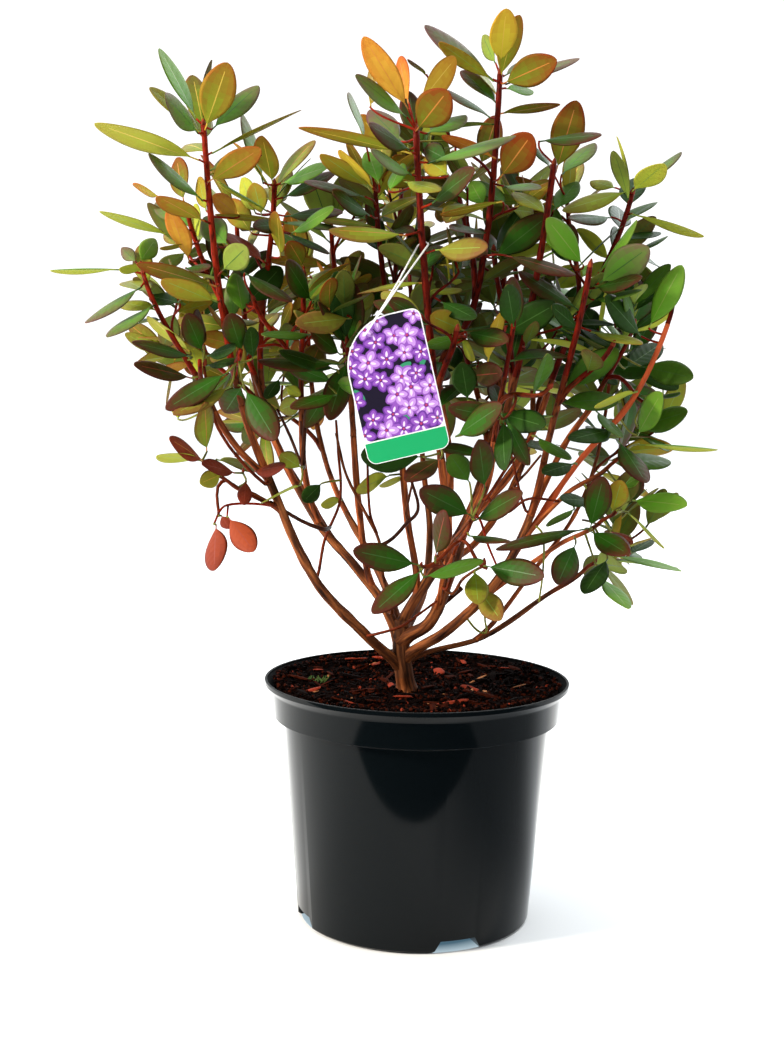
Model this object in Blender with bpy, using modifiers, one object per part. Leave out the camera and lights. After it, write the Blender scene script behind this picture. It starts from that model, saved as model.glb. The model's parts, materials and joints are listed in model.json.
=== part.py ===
"""A rhododendron in a five-litre nursery pot: the pot, its compost, a trunk, its boughs, the masses of
foliage that the boughs bear, and a tag on a loop.

Metres, Z up. The origin is the centre of the pot's flat underside, and the plant's front faces -Y.
The tables of boughs and shoots are in millimetres, and MM turns them into metres.
"""

import math
import random
from collections import namedtuple

import bmesh
import bpy
from mathutils import Matrix, Vector
from mathutils.bvhtree import BVHTree

MM = 0.001
GAP = 0.3 * MM  # air between two pieces that touch
WELD = 0.001 * MM
UP = Vector((0, 0, 1))
GOLDEN_ANGLE = math.radians(137.5)

# Pot
POT_HEIGHT = 178 * MM
RIM_RADIUS = 112.5 * MM
RIM_HEIGHT = 3 * MM
COLLAR_TOP = (107 * MM, 169 * MM)  # radius and height
COLLAR_FOOT = (105.3 * MM, 151 * MM)
BODY_TOP = (98 * MM, 148.5 * MM)
BASE_RADIUS = 86 * MM
BASE_ROUNDING = 2 * MM
WALL = 1.8 * MM
ROUND_STEPS = 48

# Drain pockets round the pot's foot
POCKET_COUNT = 4
POCKET_TURN = math.radians(-68)  # the first pocket, from +X
POCKET_WIDTH = 41 * MM  # at the foot, and it narrows to the roof
POCKET_ROOF_WIDTH = 26 * MM
POCKET_HEIGHT = 9 * MM
POCKET_DEPTH = 25 * MM
DRAIN_RADIUS = 4 * MM
DRAIN_STEPS = 10

# Compost
COMPOST_TOP = 166 * MM
COMPOST_EDGE_DROP = 2 * MM
COMPOST_FLAT_RADIUS = 34 * MM  # level round the trunk's foot

# Trunk: a root flare at its foot, then an even taper to the fork
TRUNK_FOOT = (-7, 9, 166.3)
TRUNK_KNEES = ((-10, 3, 184), (-12, 0, 200))
TRUNK_TOP = (-12, 3, 221)
TRUNK_FLARE = 19
TRUNK_THICK = 14
TRUNK_THIN = 11.5
FLARE_SHARE = 0.22  # of the trunk's length
TRUNK_STRAIGHT = 2.5 * MM
TRUNK_SPACING = 7 * MM
TRUNK_SIDES = 10

# Boughs: where each leaves its parent, the knees it bends at, its tip, and its two diameters
Bough = namedtuple("Bough", "name parent along knees tip thick thin")
BOUGHS = (
    Bough(
        "left_low", "trunk", 0.34,
        ((-36, -12, 210), (-74, -30, 254), (-108, -45, 331)), (-125, -50, 379), 8, 5
    ),
    Bough(
        "left_up", "trunk", 0.62, ((-25, 6, 231), (-45, 12, 256), (-76, 20, 291)), (-109, 20, 353), 8, 4.8
    ),
    Bough("centre_back", "trunk", 0.9, ((5, 15, 246), (27, 30, 278)), (41, 34, 309), 9.4, 5.2),
    Bough(
        "centre", "trunk", 0.72, ((9, -10, 222), (22, -22, 257), (34, -30, 298)), (45, -32, 325), 10, 5.4
    ),
    Bough("right", "trunk", 0.48, ((22, -20, 218), (54, -38, 255), (76, -45, 300)), (86, -48, 343), 8, 4.8),
    Bough("right_low", "trunk", 0.42, ((51, 24, 206), (98, 30, 238)), (125, 30, 257), 4.2, 3.2),
    Bough("back_left", "trunk", 0.8, ((-28, 40, 246),), (-70, 85, 318), 6.6, 4.2),
    Bough("back_mid", "trunk", 0.7, ((4, 42, 236), (8, 70, 280)), (2, 88, 330), 6.6, 4.2),
    Bough("left_side", "left_low", 0.66, ((-115, -50, 316),), (-131, -55, 324), 3.6, 3),
    Bough("left_outer", "left_low", 0.76, ((-128, -54, 350),), (-143, -60, 375), 4.6, 4.2),
    Bough("left_back", "left_up", 0.5, ((-88, 45, 310),), (-115, 62, 352), 5, 4.4),
    Bough("left_inner", "left_up", 0.62, ((-86, 14, 328),), (-88, 8, 367), 4.8, 4.4),
    Bough("left_spur", "left_up", 0.28, ((-44, -2, 300),), (-49, -8, 357), 5, 4.4),
    Bough("centre_left", "centre_back", 0.22, ((-10, 22, 300),), (-16, 20, 362), 5.2, 4.6),
    Bough("centre_top", "centre_back", 0.5, ((22, 12, 330),), (12, -4, 395), 5.8, 5.2),
    Bough("back_right", "centre_back", 0.4, ((46, 62, 275),), (78, 92, 325), 5.4, 4.6),
    Bough("centre_front", "centre", 0.42, ((20, -45, 300),), (14, -58, 345), 6, 5.4),
    Bough("centre_dark", "centre", 0.7, ((46, -52, 325),), (50, -66, 358), 4.6, 4),
    Bough("front", "centre", 0.26, ((18, -45, 262),), (24, -68, 280), 3.8, 3.2),
    Bough("right_twig_low", "right", 0.42, ((98, -52, 286),), (124, -60, 302), 3.6, 3),
    Bough("right_twig_mid", "right", 0.66, ((102, -54, 322),), (128, -60, 340), 3.4, 3),
    Bough("right_arch", "right", 0.55, ((108, -44, 340), (146, -50, 388)), (168, -52, 440), 4.8, 3.8),
    Bough("right_outer", "right", 0.8, ((102, -34, 356),), (122, -28, 386), 4.4, 3.8),
    Bough("right_up", "centre_back", 0.72, ((70, 18, 335),), (92, 4, 392), 5.2, 4.6),
    Bough("back_far_right", "right_low", 0.38, ((88, 62, 250),), (124, 88, 296), 3.6, 3),
)
BOUGH_SIDES = 6
BOUGH_SPACING = 16 * MM
BOUGH_FOLLOWS = 0.5  # its parent's direction, where it leaves
BOUGH_RISES = 0.35  # towards upright at its tip
LIMB_CLEARANCE = 2 * GAP  # on a limb's radius, as the flats of its section lie further in

# Shoots: the first of each mass grows on from its bough's tip, and the others fork from it.
# leaves counts the leaves of each year's growth, the youngest first.
Shoot = namedtuple("Shoot", "mass along tip leaves")
SHOOTS = (
    Shoot("left_low", 0, (-151, -60, 568), (7, 4, 3)),
    Shoot("left_low", 0.1, (-122, -86, 417), (7, 2)),
    Shoot("left_outer", 0, (-192, -60, 468), (8, 5)),
    Shoot("left_outer", 0.14, (-150, -82, 410), (7, 2)),
    Shoot("left_side", 0, (-151, -62, 341), (6,)),
    Shoot("left_side", 0.2, (-138, -74, 304), ()),
    Shoot("left_up", 0, (-108, -8, 535), (8, 5, 4)),
    Shoot("left_up", 0.14, (-168, -26, 516), (8, 5, 3)),
    Shoot("left_inner", 0, (-84, -34, 470), (8, 5)),
    Shoot("left_inner", 0.3, (-118, -44, 452), (7, 3)),
    Shoot("left_back", 0, (-142, 44, 520), (8, 6, 4)),
    Shoot("left_back", 0.14, (-176, 74, 424), (8, 4)),
    Shoot("left_spur", 0, (-70, 36, 512), (8, 6, 3)),
    Shoot("left_spur", 0.22, (-52, -58, 424), (7, 4)),
    Shoot("centre_back", 0, (62, 66, 498), (8, 5)),
    Shoot("centre_back", 0.18, (30, 74, 436), (7, 3)),
    Shoot("centre_left", 0, (-36, -4, 533), (8, 5, 3)),
    Shoot("centre_left", 0.3, (-18, 66, 558), (8, 5, 3)),
    Shoot("centre_front", 0, (-7, -82, 563), (9, 5, 3)),
    Shoot("centre_front", 0.18, (22, -104, 432), (7, 2)),
    Shoot("centre_top", 0, (50, -28, 610), (8, 5, 4)),
    Shoot("centre_top", 0.3, (20, 24, 556), (8, 5, 3)),
    Shoot("centre", 0, (87, -52, 546), (8, 5, 4)),
    Shoot("centre", 0.3, (50, 2, 492), (7, 4)),
    Shoot("centre_dark", 0, (60, -98, 444), (8, 4)),
    Shoot("centre_dark", 0.3, (82, -122, 396), (7, 2)),
    Shoot("front", 0, (34, -104, 306), (5,)),
    Shoot("front", 0.35, (2, -98, 275), (4,)),
    Shoot("front", 0.45, (46, -96, 274), (4,)),
    Shoot("right", 0, (109, -92, 475), (8, 5, 2)),
    Shoot("right", 0.3, (128, -70, 424), (7, 2)),
    Shoot("right_up", 0, (144, -28, 530), (8, 5, 4)),
    Shoot("right_up", 0.35, (104, 26, 530), (8, 5, 2)),
    Shoot("right_arch", 0, (172, -52, 468), ()),
    Shoot("right_outer", 0, (150, -14, 440), (8, 5)),
    Shoot("right_outer", 0.3, (158, -46, 386), (7,)),
    Shoot("right_twig_mid", 0, (140, -66, 353), (7,)),
    Shoot("right_twig_low", 0, (134, -74, 312), (8,)),
    Shoot("right_low", 0, (142, 26, 268), (7,)),
    Shoot("right_low", 0.4, (150, 52, 276), (4,)),
    Shoot("back_left", 0, (-96, 122, 486), (9, 6, 4)),
    Shoot("back_left", 0.14, (-132, 128, 392), (8, 4)),
    Shoot("back_mid", 0, (-14, 132, 524), (9, 6, 4)),
    Shoot("back_mid", 0.16, (20, 150, 420), (8, 4)),
    Shoot("back_right", 0, (66, 112, 536), (9, 6, 4)),
    Shoot("back_right", 0.16, (106, 140, 422), (8, 4)),
    Shoot("back_far_right", 0, (150, 84, 446), (9, 5)),
    Shoot("back_far_right", 0.2, (166, 112, 352), (8,)),
)

# The leaves that give the crown its outline: the shoot of the mass that each grows on, how far below the
# shoot's tip it is rooted, and where its own tip is.
FarLeaf = namedtuple("FarLeaf", "mass shoot depth tip")
FAR_LEAVES = (
    FarLeaf("left_low", 0, 14, (-224, -62, 572)),
    FarLeaf("left_low", 0, 10, (-90, -48, 584)),
    FarLeaf("left_low", 0, 3, (-180, -52, 618)),
    FarLeaf("left_outer", 0, 3, (-255, -66, 471)),
    FarLeaf("left_outer", 0, 9, (-229, -75, 436)),
    FarLeaf("left_outer", 1, 5, (-193, -100, 424)),
    FarLeaf("left_outer", 1, 9, (-169, -108, 374)),
    FarLeaf("left_side", 0, 4, (-183, -72, 358)),
    FarLeaf("left_side", 1, 2, (-142, -80, 266)),
    FarLeaf("left_side", 1, 6, (-112, -86, 282)),
    FarLeaf("left_up", 1, 6, (-205, -30, 540)),
    FarLeaf("centre_front", 0, 6, (-42, -85, 618)),
    FarLeaf("centre_front", 0, 14, (-68, -78, 572)),
    FarLeaf("centre_top", 0, 2, (52, -34, 654)),
    FarLeaf("centre_top", 0, 8, (0, -36, 642)),
    FarLeaf("centre", 0, 5, (134, -56, 572)),
    FarLeaf("right_up", 0, 8, (192, -40, 503)),
    FarLeaf("right_up", 0, 3, (176, -30, 564)),
    FarLeaf("right_arch", 0, 3, (180, -78, 424)),
    FarLeaf("right_outer", 1, 4, (186, -60, 408)),
    FarLeaf("right_twig_mid", 0, 3, (200, -78, 357)),
    FarLeaf("right_twig_low", 0, 4, (180, -84, 318)),
    FarLeaf("right_low", 0, 3, (194, 20, 261)),
    FarLeaf("right_low", 0, 7, (160, 12, 234)),
    FarLeaf("front", 0, 8, (82, -104, 284)),
    FarLeaf("front", 1, 4, (-42, -108, 288)),
    FarLeaf("front", 1, 7, (-24, -106, 246)),
)
STEM_TAPER = 0.78  # a twig's tip beside its foot, which is as wide as its bough's tip
FORK_SHARE = 0.9  # a fork's foot beside its stem's
TWIG_SIDES = 3
TWIG_SPACING = 34 * MM
TWIG_STRAIGHT = 4 * MM  # so its foot is square to its bough's tip
SHOOT_RISES = 0.8  # towards upright at its tip
FORK_SPREAD = 1.2  # how strongly a fork turns from its stem towards its own tip
YEAR_LENGTH = 88 * MM  # from one year's whorl down to the last one's
WHORL_START = 1.5 * MM
WHORL_STEP = 0.8 * MM
WHORL_DEPTH = 26 * MM  # the leaves of one year spread down so much of the stem
WHORL_CROWDING = 1.7  # above 1 crowds them towards the tip
YOUNG_LIFT = (64, 2)  # degrees out of the twig's cross plane, for the highest and lowest leaf of the whorl
OLD_LIFT = (34, -14)
LEAF_LENGTH = (44 * MM, 55 * MM)
LEAF_WIDTH = 0.46  # of its length: a little broad, as the solid's outline is a lozenge
LEAF_THICKNESS = 0.04
LEAF_WIDEST = 0.52  # of its length, from the root
LEAF_THICKEST = 0.26
LEAF_FOLD = 0.03  # how far its sides stand up from the midrib
LEAF_DROOP = (0.02, 0.12)
LEAF_ROLL = 0.35  # radians, either way
LEAF_ROOT_SHARE = 0.25  # this much of a leaf may cross its own mass
LEAF_REACH = 0.6  # of its length: a sphere of this radius round its middle holds a leaf
LEAF_TRIES = 9
TRY_TURN = 0.35  # each new try for a leaf turns it further round the shoot, this side or that, in radians
TRY_LIFT = 4  # and lifts it, in degrees
TRY_SHRINK = 0.03  # and makes it shorter
TURN_PLAY = 0.2
LIFT_PLAY = 9
SPACE_MARGIN = 0.7 * MM  # air that a leaf keeps to the other masses and to the limbs

# Tag and its loop
TAG_SIZE = (54 * MM, 92 * MM)
TAG_THICKNESS = 0.8 * MM
TAG_SHOULDER = 34 * MM  # rounding of the top left corner
TAG_CORNER = 6 * MM
TAG_HOLE = (-11 * MM, 36 * MM)  # from the tag's middle
TAG_HOLE_RADIUS = 2.4 * MM
TAG_HOLE_STEPS = 10
TAG_CORNER_STEPS = 6
TAG_MIDDLE = Vector((-18, -128, 395)) * MM
TAG_TILT = math.radians(-14)
TAG_TURN = math.radians(4)
LOOP_RADIUS = 0.6 * MM
LOOP_STEM_SHARE = 0.66  # how far up its shoot the loop hangs
LOOP_STEM_WIDTH = 5.2 * MM  # of the shoot there
LOOP_HANG = 17 * MM  # it stays in the tag's plane so far above the hole
LOOP_SPACING = 8 * MM


class Path:
    """A chain of points, which can be asked for the place and direction at a share of its length."""

    def __init__(self, points):
        self.points = points
        self.reach = [0.0]
        for start, end in zip(points, points[1:]):
            self.reach.append(self.reach[-1] + (end - start).length)
        self.length = self.reach[-1]

    def at(self, share):
        wanted = min(max(share, 0), 1) * self.length
        for i in range(len(self.points) - 1):
            if wanted <= self.reach[i + 1] or i == len(self.points) - 2:
                start, end = self.points[i], self.points[i + 1]
                step = (wanted - self.reach[i]) / (self.reach[i + 1] - self.reach[i])
                return start.lerp(end, step), (end - start).normalized()


def smooth_path(stations, leave, arrive, spacing):
    """The path through the stations, leaving and arriving in the given directions."""
    directions = [leave.normalized()]
    for before, after in zip(stations, stations[2:]):
        directions.append((after - before).normalized())
    directions.append(arrive.normalized())
    points = [stations[0]]
    for i in range(len(stations) - 1):
        start, end = stations[i], stations[i + 1]
        run = (end - start).length
        steps = max(2, round(run / spacing))
        for k in range(1, steps + 1):
            t = k / steps
            points.append(
                start * (1 + 2 * t) * (1 - t) ** 2
                + end * t * t * (3 - 2 * t)
                + directions[i] * run * t * (1 - t) ** 2
                - directions[i + 1] * run * t * t * (1 - t)
            )
    return Path(points)


def new_material(name, colour, roughness):
    material = bpy.data.materials.new(name)
    material.use_nodes = True
    shader = material.node_tree.nodes["Principled BSDF"]
    shader.inputs["Base Color"].default_value = (*colour, 1)
    shader.inputs["Roughness"].default_value = roughness
    shader.inputs["Metallic"].default_value = 0
    material.diffuse_color = (*colour, 1)
    return material


def new_object(name, data, collection, material=None):
    obj = bpy.data.objects.new(name, data)
    collection.objects.link(obj)
    if material:
        data.materials.append(material)
    return obj


def new_cutter(name, mesh):
    obj = new_object(name, mesh, cutters)
    obj.hide_render = True
    obj.display_type = "WIRE"
    return obj


def mesh_from(name, bm):
    bmesh.ops.recalc_face_normals(bm, faces=bm.faces)
    mesh = bpy.data.meshes.new(name)
    bm.to_mesh(mesh)
    bm.free()
    return mesh


def evaluated_mesh(obj):
    bpy.context.view_layer.update()
    return bpy.data.meshes.new_from_object(obj.evaluated_get(bpy.context.evaluated_depsgraph_get()))


def mesh_of_curve(obj):
    """The curve object's solid as a mesh with its caps welded on. The curve is removed."""
    bm = bmesh.new()
    bm.from_mesh(evaluated_mesh(obj))
    bmesh.ops.remove_doubles(bm, verts=bm.verts, dist=WELD)
    name = obj.name
    curve = obj.data
    bpy.data.objects.remove(obj, do_unlink=True)
    bpy.data.curves.remove(curve)
    return mesh_from(name, bm)


def ring_section(sides):
    """A guide: the section of unit radius that a tube of so many sides is drawn with."""
    curve = bpy.data.curves.new(f"section_{sides}", "CURVE")
    spline = curve.splines.new("POLY")
    spline.points.add(sides - 1)
    spline.use_cyclic_u = True
    for i, point in enumerate(spline.points):
        angle = 2 * math.pi * i / sides
        point.co = (math.cos(angle), math.sin(angle), 0, 1)
    guide = new_object(curve.name, curve, cutters)
    guide.hide_render = True
    guide.display_type = "WIRE"
    return guide


def tube_mesh(name, path, radii, section):
    """A closed tube along the path, from its first point as origin, with a radius at each point."""
    curve = bpy.data.curves.new(name, "CURVE")
    curve.dimensions = "3D"
    curve.bevel_mode = "OBJECT"
    curve.bevel_object = section
    curve.use_fill_caps = True
    spline = curve.splines.new("POLY")
    spline.points.add(len(path.points) - 1)
    for point, place, radius in zip(spline.points, path.points, radii):
        point.co = (*(place - path.points[0]), 1)
        point.radius = radius
    return mesh_of_curve(new_object(name, curve, cutters))


def even_taper(path, thick, thin):
    return [thick + (thin - thick) * reach / path.length for reach in path.reach]


def turned_mesh(name, profile, collection, material):
    """The profile, given as (radius, height) from the axis outwards and back, turned round the Z axis."""
    mesh = bpy.data.meshes.new(name)
    edges = [(i, i + 1) for i in range(len(profile) - 1)]
    mesh.from_pydata([(radius, 0, height) for radius, height in profile], edges, [])
    obj = new_object(name, mesh, collection, material)
    screw = obj.modifiers.new("turn", "SCREW")
    screw.angle = 2 * math.pi
    screw.steps = screw.render_steps = ROUND_STEPS
    screw.use_merge_vertices = True
    screw.merge_threshold = WELD
    screw.use_smooth_shade = True
    return obj


def add_boolean(obj, operation, operand):
    boolean = obj.modifiers.new(operation.lower(), "BOOLEAN")
    boolean.operation = operation
    if isinstance(operand, bpy.types.Collection):
        boolean.operand_type = "COLLECTION"
        boolean.collection = operand
    else:
        boolean.object = operand


def apply_modifiers(obj):
    mesh = evaluated_mesh(obj)
    obj.modifiers.clear()
    old = obj.data
    obj.data = mesh
    bpy.data.meshes.remove(old)


def keep_largest_body(obj):
    """Drops loose scraps, and with them the shell of any hollow that was sealed, which fills it."""
    bm = bmesh.new()
    bm.from_mesh(obj.data)
    left = set(bm.verts)
    bodies = []
    while left:
        body = set()
        front = [left.pop()]
        while front:
            vert = front.pop()
            body.add(vert)
            beside = {edge.other_vert(vert) for edge in vert.link_edges} & left
            left -= beside
            front.extend(beside)
        bodies.append(body)
    bodies.sort(key=len)
    for body in bodies[:-1]:
        bmesh.ops.delete(bm, geom=list(body), context="VERTS")
    bm.to_mesh(obj.data)
    bm.free()


def placed_tree(mesh, placing):
    points = [placing @ vert.co for vert in mesh.vertices]
    return BVHTree.FromPolygons(points, [tuple(face.vertices) for face in mesh.polygons])


def pot_profile():
    """From the axis along the inside floor, up the inner wall, over the rim, down the outside and back."""
    inside = (
        (0, WALL),
        (BASE_RADIUS - WALL, WALL),
        (BODY_TOP[0] - WALL, BODY_TOP[1] + WALL),
        (COLLAR_FOOT[0] - WALL, COLLAR_FOOT[1] + WALL),
        (COLLAR_TOP[0] - WALL, COLLAR_TOP[1] + WALL),
        (RIM_RADIUS - WALL, POT_HEIGHT - RIM_HEIGHT / 2),
        (RIM_RADIUS - WALL, POT_HEIGHT),
    )
    outside = (
        (RIM_RADIUS - WALL / 4, POT_HEIGHT),
        (RIM_RADIUS, POT_HEIGHT - WALL / 2),
        (RIM_RADIUS, POT_HEIGHT - RIM_HEIGHT),
        (COLLAR_TOP[0] + WALL / 2, COLLAR_TOP[1] + WALL),
        COLLAR_TOP,
        COLLAR_FOOT,
        BODY_TOP,
        (BASE_RADIUS + BASE_ROUNDING / 4, BASE_ROUNDING),
        (BASE_RADIUS - BASE_ROUNDING, 0),
        (0, 0),
    )
    return inside + outside


def foot_block(name, wall, turn):
    """A drain pocket's space with a wall of this thickness round it. It narrows to its roof."""
    bm = bmesh.new()
    bmesh.ops.create_cube(bm, size=1)
    for vert in bm.verts:
        above = vert.co.z > 0
        width = POCKET_ROOF_WIDTH if above else POCKET_WIDTH
        vert.co.x = BASE_RADIUS + math.copysign(POCKET_DEPTH + wall, vert.co.x)
        vert.co.y *= width + 2 * wall
        vert.co.z = POCKET_HEIGHT + wall if above else -POCKET_HEIGHT / 2
    block = new_cutter(name, mesh_from(name, bm))
    block.rotation_euler.z = turn
    return block


def disc_cutter(name, radius, low, high, steps):
    bm = bmesh.new()
    size = {"segments": steps, "radius1": radius, "radius2": radius, "depth": high - low}
    bmesh.ops.create_cone(bm, cap_ends=True, **size)
    bmesh.ops.translate(bm, verts=bm.verts, vec=(0, 0, (low + high) / 2))
    return new_cutter(name, mesh_from(name, bm))


def make_pot(collection, material):
    """The turned pot, with a roofed pocket and a drain hole at each of the notches round its foot."""
    pot = turned_mesh("pot", pot_profile(), collection, material)
    roof_top = POCKET_HEIGHT + WALL
    inside = disc_cutter("pot_inside", BASE_RADIUS - WALL / 2, WALL / 2, roof_top, ROUND_STEPS)
    hollows = bpy.data.collections.new("pot_hollows")
    cutters.children.link(hollows)
    for i in range(POCKET_COUNT):
        turn = POCKET_TURN + 2 * math.pi * i / POCKET_COUNT
        block = foot_block(f"pocket_block_{i}", WALL, turn)
        add_boolean(block, "INTERSECT", inside)
        add_boolean(pot, "UNION", block)
        pocket = foot_block(f"pocket_{i}", 0, turn)
        drain = disc_cutter(f"drain_{i}", DRAIN_RADIUS, POCKET_HEIGHT / 2, 2 * roof_top, DRAIN_STEPS)
        middle = BASE_RADIUS - POCKET_DEPTH / 2
        drain.location = (middle * math.cos(turn), middle * math.sin(turn), 0)
        for hollow in (pocket, drain):
            cutters.objects.unlink(hollow)
            hollows.objects.link(hollow)
    add_boolean(pot, "DIFFERENCE", hollows)


def make_compost(collection, material):
    """The compost fills the pot down to the roofs of the drain pockets, GAP clear of the wall."""
    floor = POCKET_HEIGHT + WALL + GAP
    inset = WALL + 2 * GAP
    body_slope = (BODY_TOP[0] - BASE_RADIUS) / BODY_TOP[1]
    collar_slope = (COLLAR_TOP[0] - COLLAR_FOOT[0]) / (COLLAR_TOP[1] - COLLAR_FOOT[1])
    edge_height = COMPOST_TOP - COMPOST_EDGE_DROP
    profile = (
        (0, COMPOST_TOP),
        (COMPOST_FLAT_RADIUS, COMPOST_TOP),
        (COLLAR_FOOT[0] + collar_slope * (edge_height - WALL - COLLAR_FOOT[1]) - inset, edge_height),
        (COLLAR_FOOT[0] - inset, COLLAR_FOOT[1] + WALL + 3 * GAP),
        (BODY_TOP[0] - inset, BODY_TOP[1] + WALL + 2 * GAP),
        (BASE_RADIUS + body_slope * floor - inset, floor),
        (0, floor),
    )
    turned_mesh("compost", profile, collection, material)


def trunk_radii(path):
    radii = []
    for reach in path.reach:
        share = reach / path.length
        plain = TRUNK_THICK + (TRUNK_THIN - TRUNK_THICK) * share
        flare = max(0, 1 - share / FLARE_SHARE) ** 2
        radii.append((plain + (TRUNK_FLARE - plain) * flare) * MM / 2)
    return radii


def millimetres(place):
    return Vector(place) * MM


def trunk_path():
    """Upright for its first few millimetres, so that its foot is cut level."""
    foot = millimetres(TRUNK_FOOT)
    stations = [foot + UP * TRUNK_STRAIGHT, *map(millimetres, TRUNK_KNEES), millimetres(TRUNK_TOP)]
    return Path([foot, *smooth_path(stations, UP, UP, TRUNK_SPACING).points])


def bough_path(bough, paths):
    start, along = paths[bough.parent].at(bough.along)
    stations = [start, *map(millimetres, bough.knees), millimetres(bough.tip)]
    leave = (stations[1] - start).normalized() + BOUGH_FOLLOWS * along
    arrive = (stations[-1] - stations[-2]).normalized() + BOUGH_RISES * UP
    return smooth_path(stations, leave, arrive, BOUGH_SPACING)


def swollen_path(path):
    """The path with its two ends moved outwards."""
    points = list(path.points)
    points[0] = points[0] + (points[0] - points[1]).normalized() * GAP
    points[-1] = points[-1] + (points[-1] - points[-2]).normalized() * GAP
    return Path(points)


def grow_limbs(collection, material, sections):
    """The trunk, then each bough, cut clear of the limbs that were made before it."""
    paths = {"trunk": trunk_path()}
    radii = {"trunk": trunk_radii(paths["trunk"])}
    for bough in BOUGHS:
        paths[bough.name] = bough_path(bough, paths)
        radii[bough.name] = even_taper(paths[bough.name], bough.thick * MM / 2, bough.thin * MM / 2)
    made = []
    for name, path in paths.items():
        section = sections[TRUNK_SIDES if name == "trunk" else BOUGH_SIDES]
        node = name if name == "trunk" else f"bough_{name}"
        limb = new_object(node, tube_mesh(node, path, radii[name], section), collection, material)
        limb.location = path.points[0]
        bpy.context.view_layer.update()
        tree = placed_tree(limb.data, limb.matrix_world)
        crossed = [cutter for cutter, cutter_tree in made if cutter_tree.overlap(tree)]
        for cutter in crossed:
            add_boolean(limb, "DIFFERENCE", cutter)
        if crossed:
            apply_modifiers(limb)
            keep_largest_body(limb)
        swollen = swollen_path(path)
        wider = [radius + LIMB_CLEARANCE for radius in radii[name]]
        cutter = new_cutter(f"swollen_{name}", tube_mesh(f"swollen_{name}", swollen, wider, section))
        cutter.location = swollen.points[0]
        bpy.context.view_layer.update()
        made.append((cutter, placed_tree(cutter.data, cutter.matrix_world)))
    return paths


def shoot_path(start, leave, tip):
    """A twig that leaves straight, as its bough points, and turns up towards the light."""
    bend = start + leave.normalized() * TWIG_STRAIGHT
    chord = (tip - bend).normalized()
    curve = smooth_path([bend, tip], leave, chord + SHOOT_RISES * UP, TWIG_SPACING)
    return Path([start, *curve.points])


def leaf_spots(years, length):
    """For each leaf of a shoot, the distance of its root from the tip and its lift in degrees."""
    spots = []
    for year, count in enumerate(years):
        high, low = YOUNG_LIFT if year == 0 else OLD_LIFT
        for i in range(count):
            share = i / max(count - 1, 1)
            depth = year * YEAR_LENGTH + WHORL_START + WHORL_STEP * i + WHORL_DEPTH * share**WHORL_CROWDING
            if depth < length - TWIG_STRAIGHT:
                spots.append((depth, high + (low - high) * share))
    return spots


def leaf_frame(root, direction, facing, roll):
    """A leaf's place and turn: its length along Z, its width along X, its upper face towards Y."""
    upper = (facing - direction * facing.dot(direction)).normalized()
    upper = Matrix.Rotation(roll, 3, direction) @ upper
    turn = Matrix((upper.cross(direction), upper, direction)).transposed()
    return Matrix.Translation(root) @ turn.to_4x4()


def spiral_frame(path, depth, azimuth, lift, roll):
    """The frame of a leaf that stands round a shoot, so far below its tip."""
    root, along = path.at(1 - depth / path.length)
    side = along.orthogonal().normalized()
    outward = Matrix.Rotation(azimuth, 3, along) @ side
    return leaf_frame(root, outward * math.cos(lift) + along * math.sin(lift), along, roll)


def leaf_mesh(name, length, droop, margin=0.0, start=0.0):
    """A leaf of eight faces. margin swells it, and start cuts away so much of its length from the root."""
    bm = bmesh.new()
    bmesh.ops.create_uvsphere(bm, u_segments=4, v_segments=2, radius=1)
    for vert in bm.verts:
        x, y, z = (round(value) for value in vert.co)
        if x:
            vert.co = (x * (LEAF_WIDTH * length / 2 + margin), LEAF_FOLD * length, LEAF_WIDEST * length)
        elif y:
            vert.co = (0, y * (LEAF_THICKNESS * length / 2 + margin), LEAF_THICKEST * length)
        elif z > 0:
            vert.co = (0, -droop * length, length + margin)
        else:
            vert.co = (0, 0, start * length)
    if start:
        for vert in bm.verts:
            vert.co.z = max(vert.co.z, start * length + abs(vert.co.y))
    return mesh_from(name, bm)


class Garden:
    """All that a new leaf must stay clear of, each thing with its owner and a sphere that holds it."""

    def __init__(self):
        self.things = []

    def add(self, owner, obj):
        corners = [obj.matrix_world @ vert.co for vert in obj.data.vertices]
        middle = sum(corners, Vector()) / len(corners)
        reach = max((corner - middle).length for corner in corners)
        self.things.append((owner, middle, reach, placed_tree(obj.data, obj.matrix_world)))

    def is_clear(self, owner, middle, reach, tree, outer_tree):
        """Whether a leaf of this owner has room: all of it beside others, its outer part among its own."""
        for other_owner, other_middle, other_reach, other in self.things:
            if (other_middle - middle).length > other_reach + reach:
                continue
            if other.overlap(outer_tree if other_owner == owner else tree):
                return False
        return True


def try_leaf(mass, frame, length, droop, garden):
    """The leaf as an object, or None where it would leave the mass's space or touch something."""
    blade = leaf_mesh("blade", length, droop, SPACE_MARGIN)
    outer = leaf_mesh("outer", length, droop, SPACE_MARGIN / 2, LEAF_ROOT_SHARE)
    middle = frame @ Vector((0, 0, length / 2))
    trees = (placed_tree(blade, frame), placed_tree(outer, frame))
    clear = garden.is_clear(mass, middle, LEAF_REACH * length, *trees)
    bpy.data.meshes.remove(blade)
    bpy.data.meshes.remove(outer)
    if not clear:
        return None
    leaf = bpy.data.objects.new("leaf", leaf_mesh("leaf", length, droop))
    leaf.matrix_world = frame
    return leaf


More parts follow.
